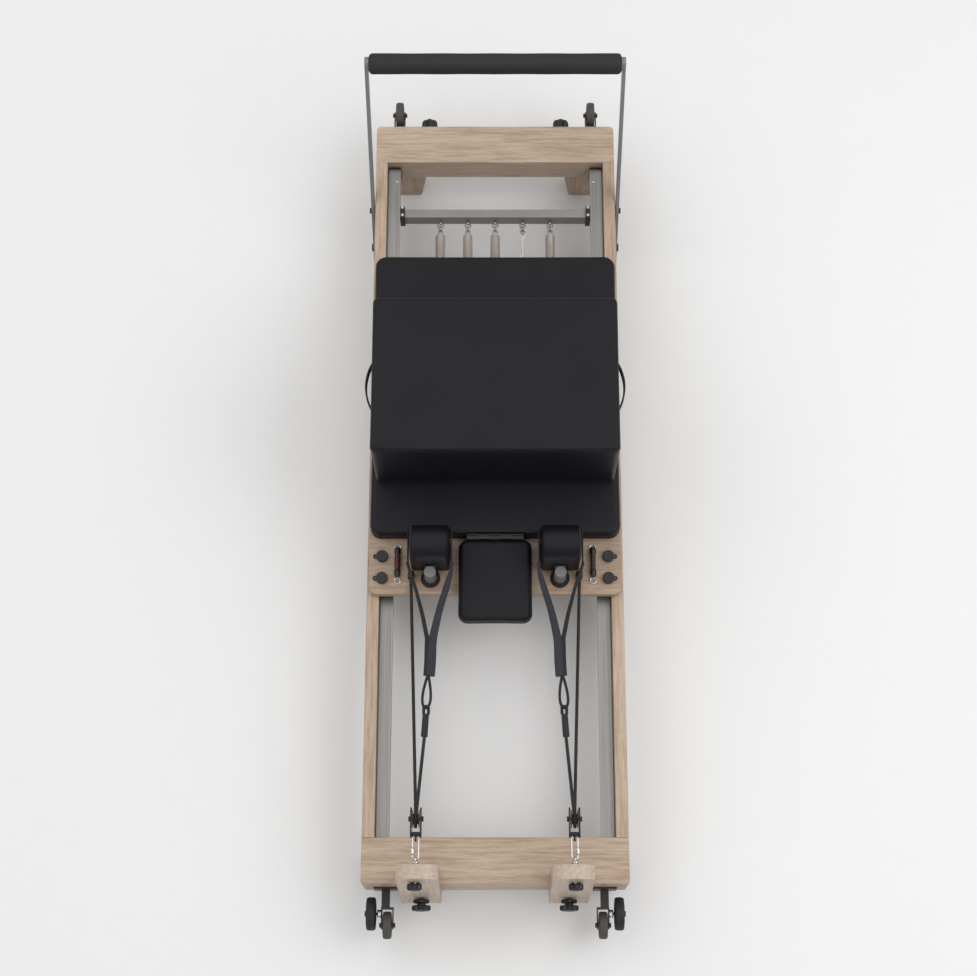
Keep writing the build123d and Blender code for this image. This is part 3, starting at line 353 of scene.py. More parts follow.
@dataclass(frozen=True)
class Cushion:
    """A stuffed pad: rounded plan, soft upper and lower edges, a crowned top and sides that pull in a little."""

    low: Point
    high: Point
    corner: float
    edge: float
    crown: float = 0.003
    waist: float = 0.002
    lower_edge: float = 0.006
    pucker: float = 0.0006
    inset: float = 0.0

    @property
    def middle(self) -> np.ndarray:
        """The middle of the pad's box."""
        return (np.array(self.low) + np.array(self.high)) / 2

    def outline(self) -> Outline:
        """The pad's plan."""
        size = (np.array(self.high) - np.array(self.low)) / 2
        return Outline(size[0] - self.inset, size[1] - self.inset, self.corner)

    def shell(self) -> Shell:
        """Works out the pad's surface.

        A row of the side is the outline moved in by the edge's inset and by waist times the sine of how far
        along its side a point is. A row of the top or bottom is the edge's last row scaled towards the middle,
        raised by crown * (1 - scale ** 2.5). Puckers are short waves near the corners.

        Returns:
            The closed surface.
        """
        outline, normal, middle_share = self.outline().arrays()
        bottom, top = self.low[2], self.high[2] - self.crown
        quarter = np.linspace(0, math.pi / 2, 9)
        rise = np.linspace(0, 1, 12)[1:-1]
        low_inset = self.lower_edge * (1 - np.sin(quarter))
        low_z = bottom + self.lower_edge * (1 - np.cos(quarter))
        side_z = bottom + self.lower_edge + (top - self.edge - bottom - self.lower_edge) * rise
        top_inset, top_z = self.edge * (1 - np.cos(quarter)), top - self.edge * (1 - np.sin(quarter))
        inset = np.concatenate([low_inset, np.zeros_like(side_z), top_inset])
        height = np.concatenate([low_z, side_z, top_z])
        part = (height - bottom) / (top - bottom)
        pull = self.waist * np.sin(part * math.pi)[:, None] * middle_share[None]
        along = np.cumsum(np.linalg.norm(np.roll(outline, -1, 0) - outline, axis=1))
        near_corner = (1 - middle_share) ** 3
        ripple = self.pucker * np.sin(along * PUCKER_WAVES) * near_corner * np.sin(part * math.pi)[:, None]
        moved = inset[:, None] + pull + ripple
        walls = outline[None] - normal[None] * moved[..., None]
        shrink = np.linspace(1, 0.02, 26)[1:]
        upper = walls[-1][None] * shrink[:, None, None]
        lower = walls[0][None] * shrink[::-1][:, None, None]
        lift = self.crown * (1 - shrink**2.5)
        plan = np.concatenate([lower, walls, upper])
        z = np.concatenate([np.full(len(shrink), bottom), height, top + lift])
        grid = np.empty((*plan.shape[:2], 3))
        grid[..., :2] = plan + self.middle[:2]
        grid[..., 2] = z[:, None]
        return Shell.from_grid(grid, (along[-1], float(np.abs(np.diff(z)).sum())))

    def piping(self, height: float, radius: float, inset: float = 0.0) -> Shell:
        """A thin sewn welt that follows the outline.

        Args:
            height: The welt's Z.
            radius: Its radius.
            inset: How far it lies inside the outline.

        Returns:
            The closed ring.
        """
        outline, normal, middle_share = self.outline().arrays()
        part = (height - self.low[2]) / (self.high[2] - self.low[2])
        pull = inset + self.waist * math.sin(part * math.pi) * middle_share
        plan = outline - normal * pull[:, None]
        path = np.column_stack([plan + self.middle[:2], np.full(len(plan), height)])
        return carry(path, round_section(radius, 8), (0, 0, 1), closed=True)


# ---- finishes ----


class Grain(Enum):
    """The way that a board's grain runs."""

    ACROSS = (1.6, 26.0, 26.0)
    ALONG = (26.0, 1.6, 26.0)
    UPRIGHT = (26.0, 26.0, 1.6)


class Graph:
    """Adds shader nodes to one tree and links them."""

    def __init__(self, tree: bpy.types.NodeTree) -> None:
        """Keeps the tree that the nodes go into."""
        self.tree = tree

    def add(self, kind: str, inputs: dict | None = None, **settings: object) -> bpy.types.Node:
        """Adds one node.

        Args:
            kind: The node's Blender type.
            inputs: Values or sockets for its inputs, by name or number.
            **settings: The node's own properties.

        Returns:
            The node.
        """
        node = self.tree.nodes.new(kind)
        for key, value in settings.items():
            setattr(node, key, value)
        for key, value in (inputs or {}).items():
            if isinstance(value, bpy.types.NodeSocket):
                self.tree.links.new(value, node.inputs[key])
            else:
                node.inputs[key].default_value = value
        return node

    def mix(self, share: object, first: object, second: object) -> bpy.types.NodeSocket:
        """Mixes two colours by a share and gives the result."""
        return self.add("ShaderNodeMix", {0: share, 6: first, 7: second}, data_type="RGBA").outputs[2]

    def maths(self, operation: str, first: object, second: object = 0.0) -> bpy.types.NodeSocket:
        """One sum on two values."""
        return self.add("ShaderNodeMath", {0: first, 1: second}, operation=operation).outputs[0]

    def spread(
        self, value: object, low: float, high: float, out_low: float, out_high: float
    ) -> bpy.types.NodeSocket:
        """Maps a range of values onto another."""
        inputs = {"Value": value, "From Min": low, "From Max": high, "To Min": out_low, "To Max": out_high}
        return self.add("ShaderNodeMapRange", inputs).outputs["Result"]

    def noise(
        self, vector: object, scale: float, detail: float = 4.0, rough: float = 0.55
    ) -> bpy.types.NodeSocket:
        """Fractal noise at a scale."""
        inputs = {"Vector": vector, "Scale": scale, "Detail": detail, "Roughness": rough}
        return self.add("ShaderNodeTexNoise", inputs).outputs["Fac"]


def rgba(colour: Colour) -> tuple[float, float, float, float]:
    """A colour with full alpha."""
    return (*colour, 1.0)


def new_group(
    name: str, inputs: dict[str, tuple[str, object]], outputs: dict[str, str]
) -> tuple[Graph, dict, bpy.types.Node]:
    """Starts a shader node group.

    Args:
        name: The group's name.
        inputs: Socket types and first values, by name.
        outputs: Socket types, by name.

    Returns:
        Its graph, its input sockets by name, and its output node.
    """
    tree = bpy.data.node_groups.new(name, "ShaderNodeTree")
    for key, (kind, value) in inputs.items():
        socket = tree.interface.new_socket(key, in_out="INPUT", socket_type=kind)
        if value is not None:
            socket.default_value = value
    for key, kind in outputs.items():
        tree.interface.new_socket(key, in_out="OUTPUT", socket_type=kind)
    graph = Graph(tree)
    entry = graph.add("NodeGroupInput")
    return graph, {key: entry.outputs[key] for key in inputs}, graph.add("NodeGroupOutput")


FLECK_BROWN = (0.17, 0.10, 0.06)


class Effects:
    """The shader effects that several finishes share, each made once."""

    def __init__(self) -> None:
        """Makes the node groups."""
        self.wood = self._wood()
        self.wear = self._wear()
        self.hide = self._hide()
        self.weave = self._weave()
        self.brush = self._brush()

    def _wood(self) -> bpy.types.NodeTree:
        """Long bands, fine fibres and short dark flecks, stretched along the grain."""
        inputs = {
            "Stretch": ("NodeSocketVector", (1.0, 1.0, 1.0)),
            "Light": ("NodeSocketColor", (1, 1, 1, 1)),
            "Dark": ("NodeSocketColor", (0.5, 0.5, 0.5, 1)),
            "Flecks": ("NodeSocketFloat", 0.5),
        }
        outputs = {"Colour": "NodeSocketColor", "Height": "NodeSocketFloat", "Roughness": "NodeSocketFloat"}
        graph, given, out = new_group("wood_grain", inputs, outputs)
        place = graph.add("ShaderNodeTexCoord").outputs["Object"]
        long = graph.add("ShaderNodeVectorMath", {0: place, 1: given["Stretch"]}, operation="MULTIPLY").outputs[0]
        bands = graph.noise(long, 0.6, 3.0, 0.5)
        fibres = graph.noise(long, 15.0, 4.0, 0.7)
        flecks = graph.add("ShaderNodeTexVoronoi", {"Vector": long, "Scale": 7.0}).outputs["Distance"]
        spots = graph.spread(flecks, 0.10, 0.22, 1.0, 0.0)
        streaks = graph.noise(long, 4.2, 3.0, 0.6)
        soft = graph.spread(bands, 0.34, 0.66, 0.0, 0.22)
        broad = graph.maths("ADD", soft, graph.spread(streaks, 0.36, 0.60, 0.0, 0.42))
        lit = graph.maths("ADD", broad, graph.spread(fibres, 0.34, 0.64, 0.0, 0.40))
        colour = graph.mix(lit, given["Dark"], given["Light"])
        deeper = graph.mix(graph.maths("MULTIPLY", spots, given["Flecks"]), colour, rgba(FLECK_BROWN))
        graph.tree.links.new(deeper, out.inputs["Colour"])
        graph.tree.links.new(fibres, out.inputs["Height"])
        graph.tree.links.new(graph.spread(fibres, 0.3, 0.7, 0.50, 0.36), out.inputs["Roughness"])
        return graph.tree

    def _wear(self) -> bpy.types.NodeTree:
        """Soft patches with a few fine scuffs, from 0 to 1."""
        inputs = {"Size": ("NodeSocketFloat", 12.0)}
        outputs = {"Mask": "NodeSocketFloat", "Height": "NodeSocketFloat"}
        graph, given, out = new_group("soft_wear", inputs, outputs)
        place = graph.add("ShaderNodeTexCoord").outputs["Object"]
        settings = {"Vector": place, "Scale": given["Size"], "Detail": 5.0}
        patch = graph.add("ShaderNodeTexNoise", settings).outputs["Fac"]
        fine = graph.noise(place, 420.0, 2.0)
        scuff = graph.spread(graph.noise(place, 55.0, 6.0, 0.75), 0.62, 0.72, 0.0, 0.5)
        mask = graph.maths("ADD", graph.spread(patch, 0.2, 0.8, 0.1, 0.6), scuff)
        graph.tree.links.new(mask, out.inputs["Mask"])
        graph.tree.links.new(fine, out.inputs["Height"])
        return graph.tree

    def _hide(self) -> bpy.types.NodeTree:
        """Fine pebbled grain with soft creases, as on leatherette."""
        inputs = {"Grain": ("NodeSocketFloat", 900.0)}
        outputs = {"Height": "NodeSocketFloat", "Cells": "NodeSocketFloat"}
        graph, given, out = new_group("pebbled_hide", inputs, outputs)
        place = graph.add("ShaderNodeTexCoord").outputs["Object"]
        cells = graph.add("ShaderNodeTexVoronoi", {"Vector": place, "Scale": given["Grain"]}).outputs["Distance"]
        crease = graph.noise(place, 14.0, 3.0)
        height = graph.maths("ADD", graph.maths("MULTIPLY", cells, 0.35), graph.maths("MULTIPLY", crease, 1.4))
        graph.tree.links.new(height, out.inputs["Height"])
        graph.tree.links.new(cells, out.inputs["Cells"])
        return graph.tree

    def _weave(self) -> bpy.types.NodeTree:
        """Slanting yarns crossing on the piece's own UV, which is in metres."""
        inputs = {"Yarns": ("NodeSocketFloat", 900.0), "Slant": ("NodeSocketFloat", 1.0)}
        graph, given, out = new_group("crossed_yarns", inputs, {"Height": "NodeSocketFloat"})
        uv = graph.add("ShaderNodeTexCoord").outputs["UV"]
        parts = graph.add("ShaderNodeSeparateXYZ", {0: uv}).outputs
        slanted = graph.maths("MULTIPLY", parts[0], given["Slant"])
        one = graph.maths("MULTIPLY", graph.maths("ADD", parts[1], slanted), given["Yarns"])
        two = graph.maths("MULTIPLY", graph.maths("SUBTRACT", parts[1], slanted), given["Yarns"])
        height = graph.maths("MULTIPLY", graph.maths("SINE", one), graph.maths("SINE", two))
        graph.tree.links.new(graph.spread(height, -1.0, 1.0, 0.0, 1.0), out.inputs["Height"])
        return graph.tree

    def _brush(self) -> bpy.types.NodeTree:
        """Fine drawn lines, stretched along one direction."""
        inputs = {"Stretch": ("NodeSocketVector", (900.0, 6.0, 900.0))}
        graph, given, out = new_group("drawn_lines", inputs, {"Lines": "NodeSocketFloat"})
        place = graph.add("ShaderNodeTexCoord").outputs["Object"]
        long = graph.add("ShaderNodeVectorMath", {0: place, 1: given["Stretch"]}, operation="MULTIPLY").outputs[0]
        graph.tree.links.new(graph.noise(long, 1.0, 3.0), out.inputs["Lines"])
        return graph.tree


class Workshop:
    """Holds the shared effects, and makes each finish's material once."""

    effects: Effects | None = None
    made: dict[str, bpy.types.Material] = {}

    @classmethod
    def material(cls, finish: "Finish") -> bpy.types.Material:
        """The material of a finish.

        Args:
            finish: The finish to look up or make.

        Returns:
            Its material.
        """
        if cls.effects is None:
            cls.effects = Effects()
        if finish.name not in cls.made:
            made = bpy.data.materials.new(finish.name)
            made.use_nodes = True
            made.node_tree.nodes.clear()
            graph = Graph(made.node_tree)
            shader = graph.add("ShaderNodeBsdfPrincipled", {"Roughness": finish.roughness})
            finish.dress(graph, shader, cls.effects)
            graph.add("ShaderNodeOutputMaterial", {"Surface": shader.outputs[0]})
            made.diffuse_color = rgba(finish.colour)
            cls.made[finish.name] = made
        return cls.made[finish.name]


@dataclass(frozen=True)
class Finish:
    """A surface finish: a name, the record's slot that it belongs to, a colour and a roughness."""

    name: str
    slot: str
    colour: Colour
    roughness: float = 0.5

    def dress(self, graph: Graph, shader: bpy.types.Node, effects: Effects) -> None:
        """Links this finish's nodes into a material; each kind of finish has its own."""
        raise NotImplementedError

    def bump(
        self, graph: Graph, shader: bpy.types.Node, height: object, depth: float, strength: float = 0.6
    ) -> None:
        """Adds a bump from a height.

        Args:
            graph: The material's graph.
            shader: Its surface shader.
            height: The socket that gives the height, from 0 to 1.
            depth: How deep the bump is, in metres.
            strength: How strongly it shows.
        """
        node = graph.add("ShaderNodeBump", {"Height": height, "Distance": depth, "Strength": strength})
        graph.tree.links.new(node.outputs[0], shader.inputs["Normal"])


@dataclass(frozen=True)
class WoodFinish(Finish):
    """Lacquered timber."""

    dark: Colour = (0.40, 0.26, 0.17)
    grain: Grain = Grain.ALONG
    flecks: float = 0.25

    def dress(self, graph: Graph, shader: bpy.types.Node, effects: Effects) -> None:
        """Grain colours, fibre bump and a thin lacquer."""
        inputs = {
            "Stretch": self.grain.value,
            "Light": rgba(self.colour),
            "Dark": rgba(self.dark),
            "Flecks": self.flecks,
        }
        node = graph.add("ShaderNodeGroup", node_tree=effects.wood)
        for key, value in inputs.items():
            node.inputs[key].default_value = value
        graph.tree.links.new(node.outputs["Colour"], shader.inputs["Base Color"])
        graph.tree.links.new(node.outputs["Roughness"], shader.inputs["Roughness"])
        shader.inputs["Coat Weight"].default_value = 0.12
        shader.inputs["Coat Roughness"].default_value = 0.35
        self.bump(graph, shader, node.outputs["Height"], 0.0003, 0.35)


@dataclass(frozen=True)
class HideFinish(Finish):
    """Matte leatherette over foam."""

    worn: Colour = (0.06, 0.057, 0.064)
    grain: float = 800.0

    def dress(self, graph: Graph, shader: bpy.types.Node, effects: Effects) -> None:
        """Pebbled bump, and slightly paler rubbed patches."""
        wear = graph.add("ShaderNodeGroup", node_tree=effects.wear)
        wear.inputs["Size"].default_value = 7.0
        hide = graph.add("ShaderNodeGroup", node_tree=effects.hide)
        hide.inputs["Grain"].default_value = self.grain
        colour = graph.mix(wear.outputs["Mask"], rgba(self.colour), rgba(self.worn))
        graph.tree.links.new(colour, shader.inputs["Base Color"])
        rough = graph.spread(wear.outputs["Mask"], 0.0, 1.0, self.roughness, self.roughness - 0.1)
        graph.tree.links.new(rough, shader.inputs["Roughness"])
        shader.inputs["Specular IOR Level"].default_value = 0.24
        self.bump(graph, shader, hide.outputs["Height"], 0.0006, 0.5)


@dataclass(frozen=True)
class WovenFinish(Finish):
    """Webbing or braided rope, patterned on the piece's own UV."""

    pale: Colour = (0.06, 0.058, 0.066)
    yarns: float = 1500.0
    slant: float = 1.0
    depth: float = 0.0006

    def dress(self, graph: Graph, shader: bpy.types.Node, effects: Effects) -> None:
        """Crossing yarns in colour and bump, with a little fibre sheen."""
        weave = graph.add("ShaderNodeGroup", node_tree=effects.weave)
        weave.inputs["Yarns"].default_value = self.yarns
        weave.inputs["Slant"].default_value = self.slant
        wear = graph.add("ShaderNodeGroup", node_tree=effects.wear)
        rubbed = graph.spread(wear.outputs["Mask"], 0, 1, 0.7, 1.0)
        share = graph.maths("MULTIPLY", weave.outputs["Height"], rubbed)
        graph.tree.links.new(graph.mix(share, rgba(self.colour), rgba(self.pale)), shader.inputs["Base Color"])
        shader.inputs["Sheen Weight"].default_value = 0.03
        self.bump(graph, shader, weave.outputs["Height"], self.depth, 0.8)


@dataclass(frozen=True)
class CoatFinish(Finish):
    """Powder coat, moulded plastic, rubber or foam: one colour with soft wear and a fine texture."""

    worn: Colour = (0.1, 0.1, 0.1)
    texture: float = 0.0002
    metallic: float = 0.0
    patch: float = 12.0

    def dress(self, graph: Graph, shader: bpy.types.Node, effects: Effects) -> None:
        """Worn patches in colour and roughness, over a fine bump."""
        wear = graph.add("ShaderNodeGroup", node_tree=effects.wear)
        wear.inputs["Size"].default_value = self.patch
        colour = graph.mix(wear.outputs["Mask"], rgba(self.colour), rgba(self.worn))
        graph.tree.links.new(colour, shader.inputs["Base Color"])
        rough = graph.spread(wear.outputs["Mask"], 0.0, 1.0, self.roughness, min(1.0, self.roughness + 0.12))
        graph.tree.links.new(rough, shader.inputs["Roughness"])
        shader.inputs["Metallic"].default_value = self.metallic
        self.bump(graph, shader, wear.outputs["Height"], self.texture, 0.4)


@dataclass(frozen=True)
class BareMetalFinish(Finish):
    """Bare, drawn or plated metal."""

    stretch: Point = (900.0, 8.0, 900.0)
    lines: float = 0.25
    metallic: float = 1.0

    def dress(self, graph: Graph, shader: bpy.types.Node, effects: Effects) -> None:
        """Drawn lines in colour, roughness and bump."""
        brush = graph.add("ShaderNodeGroup", node_tree=effects.brush)
        brush.inputs["Stretch"].default_value = self.stretch
        wear = graph.add("ShaderNodeGroup", node_tree=effects.wear)
        darker = tuple(c * (1 - self.lines) for c in self.colour)
        colour = graph.mix(brush.outputs["Lines"], rgba(darker), rgba(self.colour))
        graph.tree.links.new(colour, shader.inputs["Base Color"])
        rough = graph.spread(wear.outputs["Mask"], 0.0, 1.0, self.roughness, self.roughness + 0.1)
        graph.tree.links.new(rough, shader.inputs["Roughness"])
        shader.inputs["Metallic"].default_value = self.metallic
        self.bump(graph, shader, brush.outputs["Lines"], 0.0001, 0.25)


BEECH_ALONG = WoodFinish("beech_along", "wood", (0.56, 0.435, 0.325), 0.42, dark=(0.30, 0.20, 0.130))
BEECH_ACROSS = replace(BEECH_ALONG, name="beech_across", grain=Grain.ACROSS)
BEECH_UPRIGHT = replace(BEECH_ALONG, name="beech_upright", grain=Grain.UPRIGHT)
RISER_WOOD = WoodFinish("riser_wood", "riser_wood", (0.56, 0.46, 0.37), 0.42, dark=(0.38, 0.28, 0.21),
                        grain=Grain.UPRIGHT)
PLATFORM_WOOD = WoodFinish("platform_wood", "platform_wood", (0.46, 0.34, 0.245), 0.45, dark=(0.27, 0.18, 0.12),
                           grain=Grain.ACROSS, flecks=0.7)
HIDE = HideFinish("black_hide", "upholstery", (0.0058, 0.0050, 0.0080), 0.50, worn=(0.0088, 0.0078, 0.0118))
FOAM = CoatFinish("foam_sleeve", "foam", (0.014, 0.013, 0.016), 0.72, worn=(0.024, 0.022, 0.027), texture=0.0008)
WEBBING = WovenFinish("black_webbing", "webbing", (0.003, 0.003, 0.004), 0.75, pale=(0.014, 0.013, 0.017))
PADDED_WEBBING = WovenFinish("padded_webbing", "webbing", (0.016, 0.014, 0.022), 0.8, pale=(0.040, 0.036, 0.052),
                             yarns=1100.0)
ROPE = WovenFinish("braided_rope", "rope", (0.002, 0.002, 0.002), 0.65, pale=(0.020, 0.020, 0.020), yarns=700.0,
                   slant=1.6, depth=0.001)
ALUMINIUM = BareMetalFinish("track_aluminium", "aluminium", (0.46, 0.44, 0.42), 0.36,
                            stretch=(320.0, 3.0, 320.0), lines=0.6)
GREY_STEEL = CoatFinish("grey_coat", "grey_steel", (0.20, 0.20, 0.20), 0.42, worn=(0.26, 0.26, 0.26),
                        metallic=0.25)
BAR_STEEL = CoatFinish("spring_bar_coat", "grey_steel", (0.26, 0.25, 0.24), 0.32, worn=(0.33, 0.32, 0.31),
                       metallic=0.5)
DARK_STEEL = CoatFinish("black_coat", "dark_steel", (0.012, 0.012, 0.012), 0.36, worn=(0.035, 0.033, 0.032),
                        metallic=0.2)
SPRING_STEEL = BareMetalFinish("spring_wire", "spring_steel", (0.78, 0.72, 0.67), 0.30, stretch=(60.0, 60.0, 60.0),
                               metallic=0.65)
CHROME = BareMetalFinish("bright_plate", "chrome", (0.62, 0.61, 0.60), 0.12, stretch=(40.0, 40.0, 40.0),
                         lines=0.08)
DULL_PLATE = replace(CHROME, name="dull_plate", colour=(0.34, 0.33, 0.32))
PLASTIC = CoatFinish("black_moulding", "black_plastic", (0.005, 0.005, 0.0055), 0.34, worn=(0.014, 0.014, 0.015))
RED_PLASTIC = CoatFinish("dark_red_moulding", "black_plastic", (0.060, 0.006, 0.008), 0.40,
                         worn=(0.09, 0.012, 0.014))
RUBBER = CoatFinish("black_rubber", "rubber", (0.006, 0.006, 0.0065), 0.60, worn=(0.022, 0.021, 0.020), patch=30.0)
TYRE = CoatFinish("grey_tyre", "wheel_rubber", (0.050, 0.045, 0.041), 0.6, worn=(0.085, 0.078, 0.072), patch=30.0)


# ---- placing pieces ----


def put(name: str, shell: Shell, finish: Finish, body: str | None, stands_for: tuple[str, ...] = (),
        crease: float = 40.0) -> bpy.types.Object:
    """Makes a piece, gives it its finish and hangs it on its body.

    Args:
        name: The piece's name.
        shell: Its surface.
        finish: Its finish.
        body: The body that it rides on, or None for a piece that hangs on no body.
        stands_for: Nodes that it is shown in place of.
        crease: Angle in degrees over which an edge stays sharp.

    Returns:
        The object.
    """
    made = shell.to_object(name, crease)
    made.data.materials.append(Workshop.material(finish))
    if body is not None:
        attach(made, body)
    if stands_for:
        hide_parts(*stands_for)
    log.info("made %s: %d points", name, len(shell.points))
    return made


def dress(nodes: dict[str, bpy.types.Object], finishes: dict[str, Finish]) -> None:
    """Gives nodes their materials.

    Args:
        nodes: The frame model's nodes, by name.
        finishes: A finish for each node to dress.
    """
    for name, finish in finishes.items():
        slots = nodes[name].data.materials
        slots.clear()
        slots.append(Workshop.material(finish))


def corners_of(node: str) -> tuple[np.ndarray, np.ndarray]:
    """A node's lowest and highest corner as arrays."""
    low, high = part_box(node)
    return np.array(low), np.array(high)


@dataclass
class SubAssembly:
    """A group of pieces that belong together; it knows the frame model's nodes."""

    nodes: dict[str, bpy.types.Object]

    def build(self) -> None:
        """Makes the pieces and dresses the nodes."""
        raise NotImplementedError


@dataclass
class BedFrame(SubAssembly):
    """The wooden bed, its legs, tracks and the bar that the springs pull on."""

    def build(self) -> None:
        """Dresses boards with the grain along each, and the metal parts."""
        dress(self.nodes, {
            "head_end_board": BEECH_ACROSS, "foot_end_beam": BEECH_ACROSS, "side_boards": BEECH_ALONG,
            "legs": BEECH_UPRIGHT, "foot_pads": RUBBER, "tracks": ALUMINIUM, "frame_screws": CHROME,
            "track_end_stops": PLASTIC, "spring_bar": BAR_STEEL, "spring_bar_brackets": DARK_STEEL,
            "footbar_quadrants": DARK_STEEL, "caster_frames": DARK_STEEL,
        })
        log.info("bed frame dressed")


@dataclass
class SpringSet(SubAssembly):
    """Four main coil springs and a light one, stretched between the bar and the carriage."""

    count: int = 5
    pitch: float = 0.084
    light: int = 3
    radius: float = 0.0155
    light_radius: float = 0.011
    wire: float = 0.0016
    turns_per_metre: float = 285.0
    link_length: float = 0.092
    link_wire: float = 0.0014
    cap_seat: float = 0.004
    end_taper: float = 0.009
    ring_radius: float = 0.0076
    ring_shrink: float = 0.0008
    ring_wire: float = 0.0027
    axis_gap: float = 0.0003

    def places(self) -> list[float]:
        """The X of each spring, centred on the bed."""
        return [(i - (self.count - 1) // 2) * self.pitch for i in range(self.count)]

    def coil(self, x: float, y: tuple[float, float], z: float, radius: float) -> Shell:
        """One coil: the wire's middle runs at radius r(t) round the axis while it moves along Y.

        The radius narrows to a third over the last few turns at each end. The wire's section
        is carried with the direction from the axis as its first side.

        Args:
            x: The axis's X.
            y: Where the coil starts and ends.
            z: The axis's Z.
            radius: Outer radius.

        Returns:
            The closed wire.
        """
        length, wire = y[1] - y[0], self.wire
        turns = round(length * self.turns_per_metre)
        t = np.linspace(0, 1, turns * 11)
        angle = 2 * math.pi * turns * t
        near = np.clip(np.minimum(t, 1 - t) * length / self.end_taper, 0, 1)
        r = (radius - wire) * (0.36 + 0.64 * np.sin(near * math.pi / 2))
        out = np.stack([np.cos(angle), np.zeros_like(t), np.sin(angle)], -1)
        path = out * r[:, None] + np.stack([np.full_like(t, x), y[0] + length * t, np.full_like(t, z)], -1)
        tangent = unit(np.gradient(path, axis=0))
        side = unit(out - tangent * np.einsum("ij,ij->i", out, tangent)[:, None])
        up = np.cross(tangent, side)
        section = round_section(wire, 5)
        grid = path[:, None] + side[:, None] * section[None, :, :1] + up[:, None] * section[None, :, 1:]
        return Shell.from_grid(grid, (2 * math.pi * wire, length))

    def tip(self, x: float, y: float, z: float, facing: float) -> Shell:
        """A turned steel cap that closes a coil's end and ends in a small button."""
        profile = smooth_profile([(0, self.axis_gap), (0, 0.0050), (0.003, 0.0062), (0.0065, 0.0125),
                                  (0.009, 0.0135), (0.009, self.axis_gap)])
        return turned(profile * (facing, 1), (x, y, z), 1, 24)

    def build(self) -> None:
        """Winds the coils."""
        low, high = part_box("springs")
        z = (low.z + high.z) / 2
        mains, light = [], []
        for i, x in enumerate(self.places()):
            if i == self.light:
                start = high.y - self.link_length
                light.append(self.coil(x, (low.y + 0.006, start), z, self.light_radius))
                light.append(self.link(x, high.y, start, z))
            else:
                mains.append(self.coil(x, (low.y + self.cap_seat, high.y - self.cap_seat), z, self.radius))
                mains.append(self.tip(x, high.y - self.axis_gap, z, -1.0))
                mains.append(self.tip(x, low.y + self.axis_gap, z, 1.0))
        self.hooks(z, high.y)
        for name, shells in (("coil_springs", mains), ("light_spring", light)):
            made = put(name, Shell.joined(shells), SPRING_STEEL, None, ("springs",))
            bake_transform(made)

    def hooks(self, z: float, spring_end: float) -> None:
        """The ball studs on the bar, each with three chained rings down to its spring."""
        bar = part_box("spring_hooks")[1].y
        ball = smooth_profile([(0, self.axis_gap), (0, 0.0034), (-0.003, 0.0034), (-0.0045, 0.0058),
                               (-0.009, 0.0062), (-0.0125, 0.0045), (-0.0135, self.axis_gap)])
        first, last = bar - 0.0175, spring_end + 0.0035
        step = (first - last) / 2
        shells = []
        for x in self.places():
            shells.append(turned(ball, (x, bar, z), 1, 20))
            shells += [wire_ring((x, first - step * k, z), self.ring_radius - self.ring_shrink * k, self.ring_wire,
                                 k != 1) for k in range(3)]
        put("chained_rings", Shell.joined(shells), DULL_PLATE, "frame", ("spring_hooks",), 80.0)

    def link(self, x: float, far: float, near: float, z: float) -> Shell:
        """The light spring's wire link: two flat rings with a straight wire between them."""
        rings = [wire_ring((x, y, z), radius, self.link_wire, True, around=8)
                 for radius, y in ((0.0078, far - 0.0088), (0.0090, near + 0.0085))]
        wire = np.array([[x, near + 0.017, z], [x, (near + far) / 2, z], [x, far - 0.016, z]])
        return Shell.joined([*rings, carry(wire, round_section(self.link_wire, 8), (0, 0, 1))])


